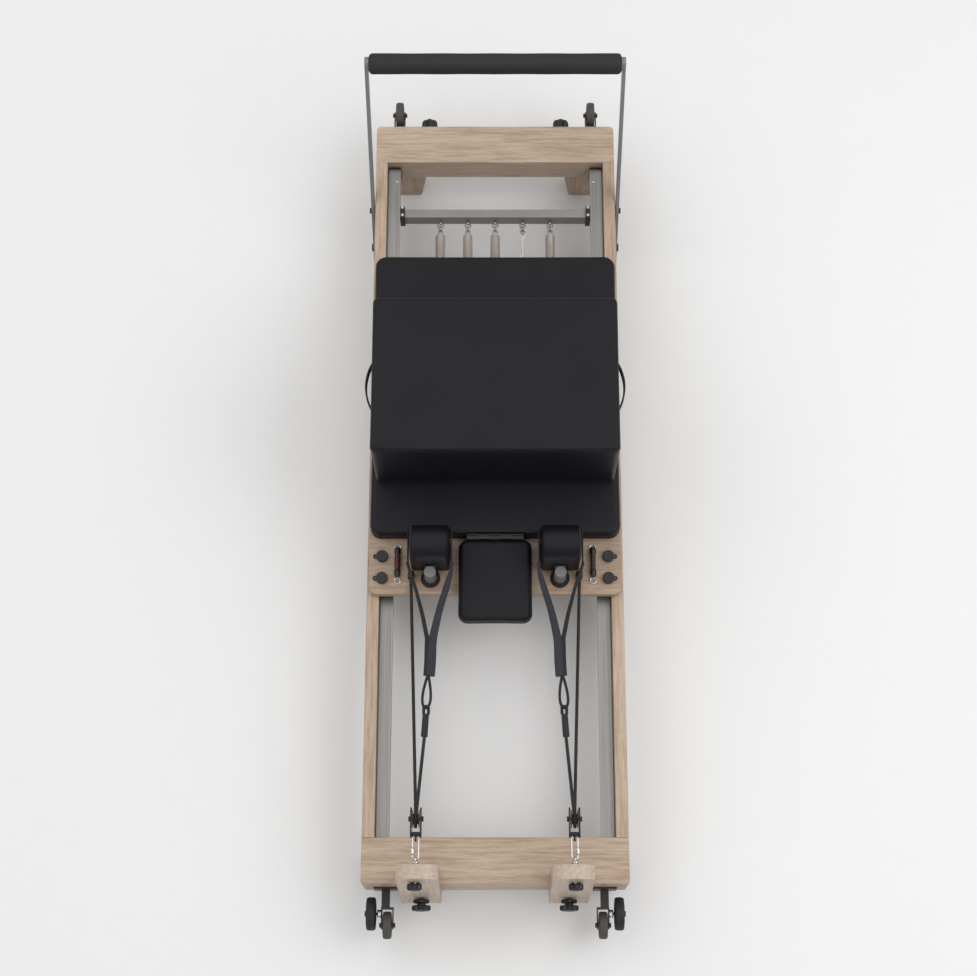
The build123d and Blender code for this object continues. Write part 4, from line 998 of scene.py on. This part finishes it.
@dataclass
class Carriage(SubAssembly):
    """The rolling platform, its long pad and the fittings on its deck."""

    cleat_inset: float = 0.010
    cleat_rise: float = 0.0125
    cleat_stops: tuple[float, float] = (0.27, 0.80)
    sleeve_share: float = 0.53

    def cleat_trim(self) -> None:
        """Round end stops on both cleat bars, and a coloured sleeve on the left one."""
        low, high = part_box("cleat_grommets")
        x, z = high.x - self.cleat_inset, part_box("platform")[1].z + self.cleat_rise
        length = high.y - low.y
        knob = smooth_profile([(-0.011, 0.0004), (-0.010, 0.0080), (0, 0.0098), (0.010, 0.0080),
                               (0.011, 0.0004)], 7)
        ends = [turned(knob, (side * x, low.y + length * share, z), 1, 28)
                for side in (-1, 1) for share in self.cleat_stops]
        put("cleat_ends", Shell.joined(ends), PLASTIC, "carriage", crease=60.0)
        sleeve = smooth_profile([(-0.017, 0.0004), (-0.017, 0.0076), (-0.013, 0.0086), (0.013, 0.0086),
                                 (0.017, 0.0076), (0.017, 0.0004)], 5)
        middle = low.y + length * self.sleeve_share
        put("cleat_sleeve", turned(sleeve, (-x, middle, z), 1, 28), RED_PLASTIC, "carriage")

    def build(self) -> None:
        """Makes the pads and the cleat trim, and dresses the rest, the rollers among them."""
        dress(self.nodes, {
            "platform": PLATFORM_WOOD, "chassis_rails": DARK_STEEL, "chassis_crossbars": DARK_STEEL,
            "roller_axles": CHROME, "head_end_rollers": TYRE, "foot_end_rollers": TYRE,
            "rope_cleats": PLASTIC, "platform_knobs": PLASTIC, "cleat_grommets": CHROME,
            # The hinges take the black coat partly as their own dark steel and partly as painted shade in the gap
            # between the pad and the headrest.
            "carriage_hinge": DARK_STEEL, "headrest_hinge": DARK_STEEL, "headrest_board": PLATFORM_WOOD,
        })
        self.cleat_trim()
        low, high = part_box("carriage_pad")
        pad = Cushion(tuple(low), tuple(high), 0.030, 0.014, crown=0.002, waist=0.0012)
        welt = [pad.piping(high.z - 0.0165, 0.0011), pad.piping(low.z + 0.007, 0.0011)]
        made = put("long_pad", Shell.joined([pad.shell(), *welt]), HIDE, "carriage", ("carriage_pad",))
        low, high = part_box("headrest_pad")
        rest = Cushion(tuple(low), tuple(high), 0.026, 0.016, crown=0.003, waist=0.0015)
        welt = [rest.piping(low.z + 0.008, 0.001)]
        made = put("head_pad", Shell.joined([rest.shell(), *welt]), HIDE, "headrest", ("headrest_pad",))


@dataclass
class ShoulderRests(SubAssembly):
    """Two upright pads on steel posts, with the hand loops hung round them."""

    width: float = 0.115
    loop_gap: float = 0.001
    loop_thickness: float = 0.004
    loop_height: float = 0.028
    loop_corner: float = 0.009
    edge: float = 0.009
    corner: float = 0.008
    dome: float = 0.0035
    seam_inset: float = 0.010

    def pad(self) -> Shell:
        """The right-hand pad.

        Its outline in the Y-Z plane is a rectangle under a half circle, and it is carried across X with ends
        that draw in by the edge radius, so that each end face is softly domed.

        Returns:
            The closed surface.
        """
        low, high = corners_of("shoulder_pads")
        radius = (high[1] - low[1]) / 2
        mid, shoulder = (low[1] + high[1]) / 2, high[2] - radius
        edge, corner, dome = self.edge, self.corner, self.dome
        arc = np.linspace(0, math.pi, 37)
        top = np.stack([np.cos(arc) * radius, np.sin(arc) * radius + shoulder], -1)
        sides = np.linspace(1, 0, 14)[1:-1, None]
        bottom = low[2]
        heights = bottom + corner + (shoulder - bottom - corner) * sides
        left = np.hstack([np.full_like(sides, -radius), heights])
        right = np.hstack([np.full_like(sides, radius), heights[::-1]])
        turn = np.linspace(0, math.pi / 2, 7)
        low_left = np.stack([-radius + corner * (1 - np.cos(turn)), bottom + corner * (1 - np.sin(turn))], -1)
        low_right = np.stack([radius - corner * (1 - np.sin(turn)), bottom + corner * (1 - np.cos(turn))], -1)
        floor = np.linspace(-radius + corner, radius - corner, 10)[1:-1, None]
        base = np.hstack([floor, np.full_like(floor, bottom)])
        outline = np.concatenate([top, left, low_left, base, low_right, right])
        centre = np.array([0.0, (shoulder + bottom) / 2])
        quarter = np.linspace(0, math.pi / 2, 9)
        inner = np.linspace(0.04, 0.9, 10)
        x0, x1 = high[0] - self.width, high[0]
        span = np.linspace(0, 1, 14)[1:-1]
        x_rows = np.concatenate([
            x0 + dome * inner**2, x0 + dome + edge * (1 - np.cos(quarter)),
            x0 + dome + edge + (x1 - x0 - 2 * (dome + edge)) * span,
            x1 - dome - edge * (1 - np.cos(quarter[::-1])), x1 - dome * inner[::-1] ** 2,
        ])
        shrink = np.concatenate([inner, np.ones(9), np.ones(12), np.ones(9), inner[::-1]])
        draw = np.concatenate([
            np.ones(10), 1 - np.sin(quarter), np.zeros(12), 1 - np.sin(quarter[::-1]), np.ones(10),
        ])
        about = outline - centre
        away = unit(about)
        rows = about[None] * shrink[:, None, None] - away[None] * (edge * draw * shrink)[:, None, None] + centre
        grid = np.empty((*rows.shape[:2], 3))
        grid[..., 0] = x_rows[:, None]
        grid[..., 1] = rows[..., 0] + mid
        grid[..., 2] = rows[..., 1]
        return Shell.from_grid(grid, (0.5, self.width))

    def seam(self, inward: float) -> Shell:
        """A welt round the pad, a little in from one of its ends."""
        low, high = corners_of("shoulder_pads")
        radius = (high[1] - low[1]) / 2 + 0.0002
        mid, shoulder = (low[1] + high[1]) / 2, high[2] - (high[1] - low[1]) / 2
        arc = np.linspace(0, math.pi, 40)
        up = np.linspace(low[2] + 0.012, shoulder, 16)[:-1]
        y = np.concatenate([np.full(15, mid + radius), mid + radius * np.cos(arc), np.full(15, mid - radius)])
        z = np.concatenate([up, shoulder + radius * np.sin(arc), up[::-1]])
        path = np.stack([np.full_like(y, high[0] - inward), y, z], -1)
        return carry(path, round_section(0.0009, 8), (1, 0, 0))

    def loop(self) -> Shell:
        """The right-hand loop: a U in plan round the pad's far side, in flat webbing."""
        low, high = corners_of("strap_loops")
        half = self.loop_thickness / 2
        out_x, in_x = high[0] - half, high[0] - (self.width + 2 * self.loop_gap + 2 * self.loop_thickness) + half
        start, far, radius = low[1], high[1] - half, self.loop_corner
        turn = np.linspace(0, math.pi / 2, 9)
        run = np.linspace(start, far - radius, 14)[:-1]
        across = np.linspace(out_x - radius, in_x + radius, 14)[1:-1]
        x = np.concatenate([np.full(13, out_x), out_x - radius + radius * np.cos(turn), across,
                            in_x + radius - radius * np.sin(turn), np.full(13, in_x)])
        y = np.concatenate([run, far - radius + radius * np.sin(turn), np.full(12, far),
                            far - radius + radius * np.cos(turn), run[::-1]])
        z = (low[2] + high[2]) / 2
        path = np.stack([x, y, np.full_like(x, z)], -1)
        return carry(path, flat_section(self.loop_thickness, self.loop_height, 24, 6.0), (0, 0, 1))

    def build(self) -> None:
        """Makes both pads and both loops."""
        dress(self.nodes, {"shoulder_posts": GREY_STEEL, "post_collars": PLASTIC})
        parts = [self.pad(), self.seam(self.seam_inset), self.seam(self.width - self.seam_inset)]
        both = parts + [part.mirrored() for part in parts]
        made = put("shoulder_cushions", Shell.joined(both), HIDE, "carriage", ("shoulder_pads",))
        loop = self.loop()
        put("hand_loops", Shell.joined([loop, loop.mirrored()]), WEBBING, "carriage", ("strap_loops",))


@dataclass
class HandRopes(SubAssembly):
    """A rope from the carriage round each pulley to a hand strap."""

    radius: float = 0.0045
    anchor: float = -1.0055
    travel: float = 0.62
    strap_end: float = -0.270
    rope_end: float = -0.290
    rope_length: float = 0.982
    route: tuple[Point, ...] = (
        (0.238, -0.290, 0.284), (0.2126, -0.947, 0.3727), (0.2105, -1.001, 0.380),
        (0.2115, -1.001, 0.420), (0.2065, -0.947, 0.4166), (0.190, -0.762, 0.405),
    )

    ring_middle: Point = (0.1850, -0.638, 0.3950)
    ring_half_length: float = 0.045
    ring_half_width: float = 0.0155
    bight: Point = (0.1865, -0.684, 0.3995)
    bight_start: float = -0.700

    def follow(self, piece: bpy.types.Object, end: float) -> None:
        """Gives a piece its own copy of its mesh.

        Args:
            piece: The rope or strap.
            end: The Y at which it meets the carriage; not used.
        """
        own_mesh(piece)

    def centre_line(self, side: int) -> np.ndarray:
        """Reads the smooth line of the rope's route.

        Args:
            side: 1 for the right rope, -1 for the left.

        Returns:
            Points of shape (n, 3) along the line.
        """
        curve = bpy.data.curves.new("route", "CURVE")
        curve.dimensions = "3D"
        curve.resolution_u = 24
        spline = curve.splines.new("NURBS")
        spline.points.add(len(self.route) - 1)
        homogeneous = np.array([(side * x, y, z, 1.0) for x, y, z in self.route])
        spline.points.foreach_set("co", homogeneous.ravel())
        spline.order_u = 3
        spline.use_endpoint_u = True
        holder = bpy.data.objects.new("route", curve)
        bpy.context.scene.collection.objects.link(holder)
        mesh = bpy.data.meshes.new_from_object(holder)
        line = np.empty(len(mesh.vertices) * 3)
        mesh.vertices.foreach_get("co", line)
        bpy.data.objects.remove(holder)
        bpy.data.curves.remove(curve)
        bpy.data.meshes.remove(mesh)
        return line.reshape(-1, 3)

    def ropes(self) -> None:
        """Makes each rope as a braided tube along its route."""
        for side, word in ((1, "right"), (-1, "left")):
            line = self.centre_line(side)
            made = put(f"hand_rope_{word}", carry(line, round_section(self.radius, 16), (1, 0, 0)), ROPE, "frame",
                       (f"rope_{word}",), 80.0)
            self.follow(made, self.rope_end)

    def strip(
        self, points: list[Point], start: tuple[float, float], end: tuple[float, float], count: int = 30
    ) -> Shell:
        """A strip along a smooth line through points, which may twist from one section to another.

        The line is each coordinate interpolated along the summed distance between the points, smoothed by
        six passes of a quarter-half-quarter average. The section's size goes from start to end smoothly.

        Args:
            points: Points on the line.
            start: Level width and thickness at the first point.
            end: Level width and thickness at the last point.
            count: Number of rows.

        Returns:
            The closed surface.
        """
        given = np.array(points)
        at = np.concatenate([[0], np.cumsum(np.linalg.norm(np.diff(given, axis=0), axis=1))])
        where = np.linspace(0, at[-1], count)
        path = np.stack([np.interp(where, at, given[:, k]) for k in range(3)], -1)
        for _ in range(6):
            path[1:-1] = path[:-2] * 0.25 + path[1:-1] * 0.5 + path[2:] * 0.25
        share = (where / at[-1])[:, None]
        share = share * share * (3 - 2 * share)
        size = np.array(start) * (1 - share) + np.array(end) * share
        section = flat_section(1.0, 1.0, 28)[None] * size[:, None]
        return carry(path, section, (0, 0, 1))

    def teardrop(self) -> Shell:
        """The webbing ring between the rope's eye and the strap: two strands that spread and close in a round."""
        turn = np.linspace(0, 2 * math.pi, 72, endpoint=False)
        along = self.ring_half_length * np.cos(turn)
        spread = 0.30 + 0.70 * (1 - np.cos(turn)) / 2
        across = self.ring_half_width * np.sin(turn) * spread - along * 0.05
        path = np.stack([across, along, -along * 0.085], -1) + np.array(self.ring_middle)
        return carry(path, flat_section(0.0074, 0.011, 18, 3.0), (0, 0, 1), closed=True)

    def build(self) -> None:
        """Makes the ropes, eyes, rings and padded straps of both sides."""
        self.ropes()
        eye = [
            self.strip([(0.1905, -0.762, 0.4050), (0.187, -0.700, 0.4002)], (0.018, 0.0118), (0.0175, 0.0118), 14),
            self.rope_bight(),
        ]
        end = self.strap_end
        webbing = [
            self.teardrop(),
            self.strip([(0.1895, -0.592, 0.3915), (0.1875, -0.550, 0.389), (0.1868, -0.480, 0.3845)],
                       (0.012, 0.011), (0.012, 0.011)),
            self.strip([(0.1868, -0.488, 0.3850), (0.199, -0.425, 0.380), (0.220, -0.345, 0.3745),
                        (0.2445, end, 0.368)], (0.0120, 0.010), (0.008, 0.026)),
        ]
        padded = [
            self.strip([(0.1765, -0.594, 0.3920), (0.1735, -0.555, 0.390), (0.1715, -0.490, 0.3860),
                        (0.1550, -0.410, 0.381), (0.1335, -0.335, 0.374)],
                       (0.025, 0.012), (0.0175, 0.015), 40),
            self.strip([(0.1350, -0.340, 0.3745), (0.1240, -0.300, 0.371), (0.1205, end, 0.368)],
                       (0.0175, 0.015), (0.008, 0.027), 20),
        ]
        for name, shells, finish in (("rope_eyes", eye, ROPE), ("strap_webbing", webbing, WEBBING),
                                     ("strap_padding", padded, PADDED_WEBBING)):
            pair = shells + [shell.mirrored() for shell in shells]
            made = put(name, Shell.joined(pair), finish, "frame", ("hand_straps",), 60.0)
            self.follow(made, self.strap_end)

    def rope_bight(self) -> Shell:
        """The rope's end, doubled back through the ring: a long narrow U in one round section."""
        turn = np.linspace(-math.pi / 2, math.pi / 2, 20)
        middle, tip, level = self.bight
        back = np.linspace(self.bight_start, tip, 6)
        half = 0.0065
        x = np.concatenate([np.full(5, -half), half * np.sin(turn), np.full(5, half)])
        y = np.concatenate([back[:-1], tip + 0.0055 * np.cos(turn), back[:-1][::-1]])
        path = np.stack([middle + x, y, level - (y + 0.69) * 0.08], -1)
        return carry(path, round_section(0.0042, 12), (0, 0, 1))


@dataclass
class SittingBox(SubAssembly):
    """The loose padded box with a webbing handle on each side."""

    def build(self) -> None:
        """Makes the upholstered cover with its seams, and dresses the handles."""
        low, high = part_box("box_cover")
        cover = Cushion(tuple(low), tuple(high), 0.014, 0.012, crown=0.004, waist=0.002, lower_edge=0.008,
                        pucker=0.0004)
        shells = [cover.shell(), cover.piping(high.z - 0.021, 0.0012), cover.piping(low.z + 0.012, 0.0012)]
        made = put("box_upholstery", Shell.joined(shells), HIDE, "sitting_box", ("box_cover",))
        dress(self.nodes, {"box_panels": PLATFORM_WOOD, "box_handles": WEBBING})


@dataclass
class Footbar(SubAssembly):
    """The swinging bar with its foam sleeve and the two pull pins."""

    rounding: float = 0.012
    ripple: float = 0.0006
    ripple_waves: float = 40
    core: float = 0.0008

    def build(self) -> None:
        """Makes the foam sleeve and dresses the steel."""
        dress(self.nodes, {
            "footbar_arms": GREY_STEEL, "footbar_tube": GREY_STEEL, "lock_pin_left": DARK_STEEL,
            "lock_pin_right": DARK_STEEL,
        })
        low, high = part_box("footbar_pad")
        radius = (high.z - low.z) / 2
        half, end = (high.x - low.x) / 2, self.rounding
        quarter = np.linspace(0, math.pi / 2, 10)
        corner = np.stack([half - end * (1 - np.sin(quarter)), radius - end * (1 - np.cos(quarter))], -1)
        middle = np.linspace(-half + end, half - end, 30)[1:-1]
        wave = radius - self.ripple * (1 - np.cos(middle * self.ripple_waves)) / 2
        profile = np.vstack([[[-half, self.core]], corner[::-1] * (-1, 1), np.stack([middle, wave], -1), corner,
                             [[half, self.core]]])
        shell = turned(profile, (0, (low.y + high.y) / 2, (low.z + high.z) / 2), 0, 64)
        made = put("foam_sleeve", shell, FOAM, "footbar", ("footbar_pad",), 60.0)


@dataclass
class PulleyPosts(SubAssembly):
    """The two riser posts with their pulleys, hooks and hand knobs."""

    lobes: int = 5
    lobe_depth: float = 0.13
    eye_height: float = 0.405
    axis_gap: float = 0.0004
    ring_seat: float = 0.0175
    link_seat: float = 0.0195
    link_drop: float = 0.005
    link_half: float = 0.0082
    collar_drop: float = 0.002
    flange_proud: float = 0.0025

    def tier(self, centre: Point, facing: float, span: tuple[float, float], radius: float, lobes: int) -> Shell:
        """One lobed tier of a moulded knob, with rounded rims and a shallow dish in its face.

        Args:
            centre: The middle of the knob's seat.
            facing: -1 where the face looks towards the head end, 1 towards the foot end.
            span: Where the tier starts and ends, from the seat.
            radius: Its radius between lobes.
            lobes: Number of lobes.

        Returns:
            The closed surface.
        """
        start, end = span
        depth = end - start
        profile = smooth_profile([
            (start, 0.0004), (start, radius * 0.80), (start + depth * 0.12, radius), (end - depth * 0.18, radius),
            (end, radius * 0.84), (end, radius * 0.55), (end - depth * 0.10, radius * 0.42),
            (end - depth * 0.10, 0.0004),
        ], 7)
        return turned(profile * (facing, 1), centre, 1, 96, lobes, self.lobe_depth)

    def knob(self, node: str, facing: float, tiers: tuple[tuple[float, float, float, int], ...]) -> None:
        """A moulded hand knob of one or more tiers that fits its node's box.

        Args:
            node: The knob's node and body.
            facing: -1 where the knob's face looks towards the head end, 1 towards the foot end.
            tiers: For each tier its start and end as shares of the depth, its share of the radius, and its lobes.
        """
        low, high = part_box(node)
        outer = (high.z - low.z) / 2 / (1 + self.lobe_depth)
        seat = low.y if facing > 0 else high.y
        depth = high.y - low.y
        centre = ((low.x + high.x) / 2, seat, (low.z + high.z) / 2)
        shells = [self.tier(centre, facing, (a * depth, b * depth), outer * r, n) for a, b, r, n in tiers]
        put(f"{node}_grip", Shell.joined(shells), PLASTIC, node, (node,))

    def oval(self, x: float, y: tuple[float, float], z: tuple[float, float], half: float, wire: float) -> Shell:
        """A flat oval link: two straight sides with a half circle at each end, in round wire."""
        turn = np.linspace(0, math.pi, 14)
        side = np.linspace(0, 1, 12)[1:-1]
        near, far = y[0] + half, y[1] - half
        px = np.concatenate([half * np.cos(turn), np.full(10, -half), -half * np.cos(turn), np.full(10, half)])
        py = np.concatenate([far + half * np.sin(turn), far + (near - far) * side, near - half * np.sin(turn),
                             near + (far - near) * side])
        pz = z[0] + (z[1] - z[0]) * (py - y[0]) / (y[1] - y[0])
        return carry(np.stack([x + px, py, pz], -1), round_section(wire, 12), (0, 0, 1), closed=True)

    def hook(self) -> list[Shell]:
        """The right-hand eye bolt with its swivel, and the oval link to the pulley."""
        start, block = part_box("pulley_hooks")[0].y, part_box("pulley_blocks")[0].y
        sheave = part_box("sheave_right")
        x, z = (sheave[0].x + sheave[1].x) / 2, self.eye_height
        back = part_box("risers")[1].y
        swivel = smooth_profile([(0, 0.0004), (0, 0.0105), (0.005, 0.0110), (0.0062, 0.0075), (0.0085, 0.0095),
                                 (0.0125, 0.0100), (0.0155, 0.0070), (0.0165, 0.0004)], 6)
        end = back + 0.001
        shank = smooth_profile([(start, self.axis_gap), (start, 0.0046), (end, 0.0048), (end, self.axis_gap)], 3)
        collar = smooth_profile([(0.031, self.axis_gap), (0.031, 0.0052), (0.051, 0.0052),
                                 (0.051, self.axis_gap)], 3)
        return [
            turned(swivel, (x, back, z), 1, 32),
            turned(shank, (x, 0.0, z), 1, 20),
            wire_ring((x, back + self.ring_seat, z), 0.0088, 0.0027, False, 36, 12),
            self.oval(x, (back + self.link_seat, block + 0.0165), (z, z - self.link_drop), self.link_half, 0.0024),
            turned(collar, (x + self.link_half, back, z - self.collar_drop), 1, 20),
        ]

    def build(self) -> None:
        """Makes the knobs and hooks, and dresses the posts and pulleys."""
        dress(self.nodes, {
            "risers": RISER_WOOD, "pulley_blocks": PLASTIC, "sheave_left": PLASTIC, "sheave_right": PLASTIC,
        })
        hook = self.hook()
        pair = Shell.joined(hook + [part.mirrored() for part in hook])
        put("eye_bolts_and_links", pair, CHROME, "frame", ("pulley_hooks",), 60.0)
        for side in ("left", "right"):
            self.clamp(f"clamp_knob_{side}")
            self.knob(f"pulley_knob_{side}", -1.0, ((0.0, 1.0, 1.0, self.lobes),))
            self.knob(f"foot_end_knob_{side}", 1.0, ((0.0, 1.0, 1.0, 6),))

    def clamp(self, node: str) -> None:
        """The two-tier knob: a lobed flange nut, a neck, and a larger star grip beyond it."""
        low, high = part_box(node)
        outer = (high.z - low.z) / 2 / (1 + self.lobe_depth)
        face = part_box("risers")[0].y + self.flange_proud
        reach = face - low.y
        centre = ((low.x + high.x) / 2, face, (low.z + high.z) / 2)
        tiers = ((0.0, reach * 0.36, outer * 0.86, 4), (reach * 0.34, reach * 0.56, outer * 0.50, 0),
                 (reach * 0.50, reach, outer, 8))
        shells = [self.tier(centre, -1.0, (a, b), r, n) for a, b, r, n in tiers]
        stud = smooth_profile([(-0.055, 0.0004), (-0.055, 0.0048), (0.002, 0.0048), (0.002, 0.0004)], 3)
        shells.append(turned(stud * (-1.0, 1), centre, 1, 20))
        put(f"{node}_grip", Shell.joined(shells), PLASTIC, node, (node,))


@dataclass
class Casters(SubAssembly):
    """The transport wheels at both ends."""

    def wheel(self, node: str, finish: Finish) -> None:
        """A moulded wheel: a crowned tread, a recessed web and a raised hub round its bore.

        Args:
            node: The wheel's node and body.
            finish: The tyre's finish.
        """
        low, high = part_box(node)
        centre = [(low[k] + high[k]) / 2 for k in range(3)]
        radius, half = (high.z - low.z) / 2, (high.x - low.x) / 2
        profile = smooth_profile([
            (-half, 0.006), (-half, radius * 0.30), (-half * 0.55, radius * 0.34), (-half * 0.55, radius * 0.68),
            (-half * 0.96, radius * 0.74), (-half * 0.90, radius * 0.95), (-half * 0.45, radius),
            (half * 0.45, radius),
            (half * 0.90, radius * 0.95), (half * 0.96, radius * 0.74), (half * 0.55, radius * 0.68),
            (half * 0.55, radius * 0.34), (half, radius * 0.30), (half, 0.006),
        ], 5, ring=True)
        put(f"{node}_tyre", turned(profile, tuple(centre), 0, 72, ring=True), finish, node, (node,))

    def build(self) -> None:
        """Makes the six wheels."""
        for side in ("left", "right"):
            self.wheel(f"head_caster_wheel_{side}", TYRE)
            self.wheel(f"foot_caster_wheel_{side}", TYRE)
            self.wheel(f"side_wheel_{side}", RUBBER)
        self.collars()

    def collars(self) -> None:
        """A bright collar on each head end axle, between the side wheel and the caster."""
        outer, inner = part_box("side_wheel_right"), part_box("head_caster_wheel_right")
        place = ((outer[0].x + inner[1].x) / 2, (outer[0].y + outer[1].y) / 2, (outer[0].z + outer[1].z) / 2)
        profile = smooth_profile([(-0.006, 0.0004), (-0.006, 0.0105), (-0.004, 0.0115), (0.004, 0.0115),
                                  (0.006, 0.0105), (0.006, 0.0004)], 5)
        collar = turned(profile, place, 0, 32)
        put("axle_collars", Shell.joined([collar, collar.mirrored()]), CHROME, "frame", crease=60.0)


@dataclass
class Studio:
    """A plain pale floor, soft light and the camera."""

    lens: float = 67.83
    tilt: float = 17.913
    shift: float = -0.00686
    eye: Point = (0.0, -1.6467, 5.3106)
    floor_half: float = 12.0
    sky_heights: tuple[float, float] = (0.12, 0.55)
    sky_strengths: tuple[float, float] = (0.16, 0.98)

    def camera(self) -> None:
        """Looks down on the bed from beyond the head end."""
        data = bpy.data.cameras.new("camera")
        data.lens, data.sensor_width, data.shift_x = self.lens, 36.0, self.shift
        made = bpy.data.objects.new("camera", data)
        made.location = self.eye
        made.rotation_euler = (math.radians(self.tilt), 0, 0)
        bpy.context.scene.collection.objects.link(made)
        bpy.context.scene.camera = made

    def lamp(self, name: str, place: Point, aim: Point, size: float, power: float) -> None:
        """A square soft light.

        Args:
            name: Its name.
            place: Where it hangs.
            aim: What it points at.
            size: Its side in metres.
            power: Its power in watts.
        """
        data = bpy.data.lights.new(name, "AREA")
        data.size, data.energy = size, power
        made = bpy.data.objects.new(name, data)
        made.location = place
        away = np.array(aim) - np.array(place)
        level = math.hypot(away[0], away[1])
        made.rotation_euler = (math.atan2(level, -away[2]), 0, math.atan2(away[1], away[0]) - math.pi / 2)
        bpy.context.scene.collection.objects.link(made)

    def floor(self) -> None:
        """A pale matte floor with very faint mottling."""
        mesh = bpy.data.meshes.new("floor")
        side = self.floor_half
        corners = [(-side, -side, 0), (side, -side, 0), (side, side, 0), (-side, side, 0)]
        mesh.from_pydata(corners, [], [(0, 1, 2, 3)])
        made = bpy.data.objects.new("floor", mesh)
        made.location.z = -0.0005
        bpy.context.scene.collection.objects.link(made)
        finish = CoatFinish("floor_paint", "wood", (0.80, 0.80, 0.80), 0.85, worn=(0.82, 0.82, 0.82), texture=0.0)
        mesh.materials.append(Workshop.material(finish))

    def build(self) -> None:
        """Sets up the camera, floor and lamps, and a sky that lights less near the horizon but looks white."""
        self.camera()
        self.floor()
        self.lamp("key", (3.4, -0.4, 4.8), (0, 0, 0.3), 3.2, 76.0)
        self.lamp("fill", (-3.2, 1.5, 4.8), (0, 0, 0.3), 3.6, 30.0)
        world = bpy.data.worlds.new("studio")
        world.use_nodes = True
        graph = Graph(world.node_tree)
        way = graph.add("ShaderNodeTexCoord").outputs["Generated"]
        height = graph.add("ShaderNodeSeparateXYZ", {0: way}).outputs[2]
        back = world.node_tree.nodes["Background"]
        back.inputs["Color"].default_value = (1, 1, 1, 1)
        sky = graph.spread(height, *self.sky_heights, *self.sky_strengths)
        seen = graph.add("ShaderNodeLightPath").outputs["Is Camera Ray"]
        world.node_tree.links.new(graph.maths("MAXIMUM", sky, seen), back.inputs["Strength"])
        bpy.context.scene.world = world
        bpy.context.scene.view_settings.view_transform = "Standard"


def main() -> None:
    """Builds every sub-assembly in order."""
    logging.basicConfig(level=logging.INFO, format="%(name)s: %(message)s")
    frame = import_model()
    nodes = frame["nodes"]
    Studio().build()
    kinds = (HandRopes, BedFrame, SpringSet, Carriage, ShoulderRests, SittingBox, Footbar, PulleyPosts, Casters)
    for kind in kinds:
        kind(nodes).build()
        log.info("%s finished", kind.__name__)


if __name__ == "__main__":
    main()
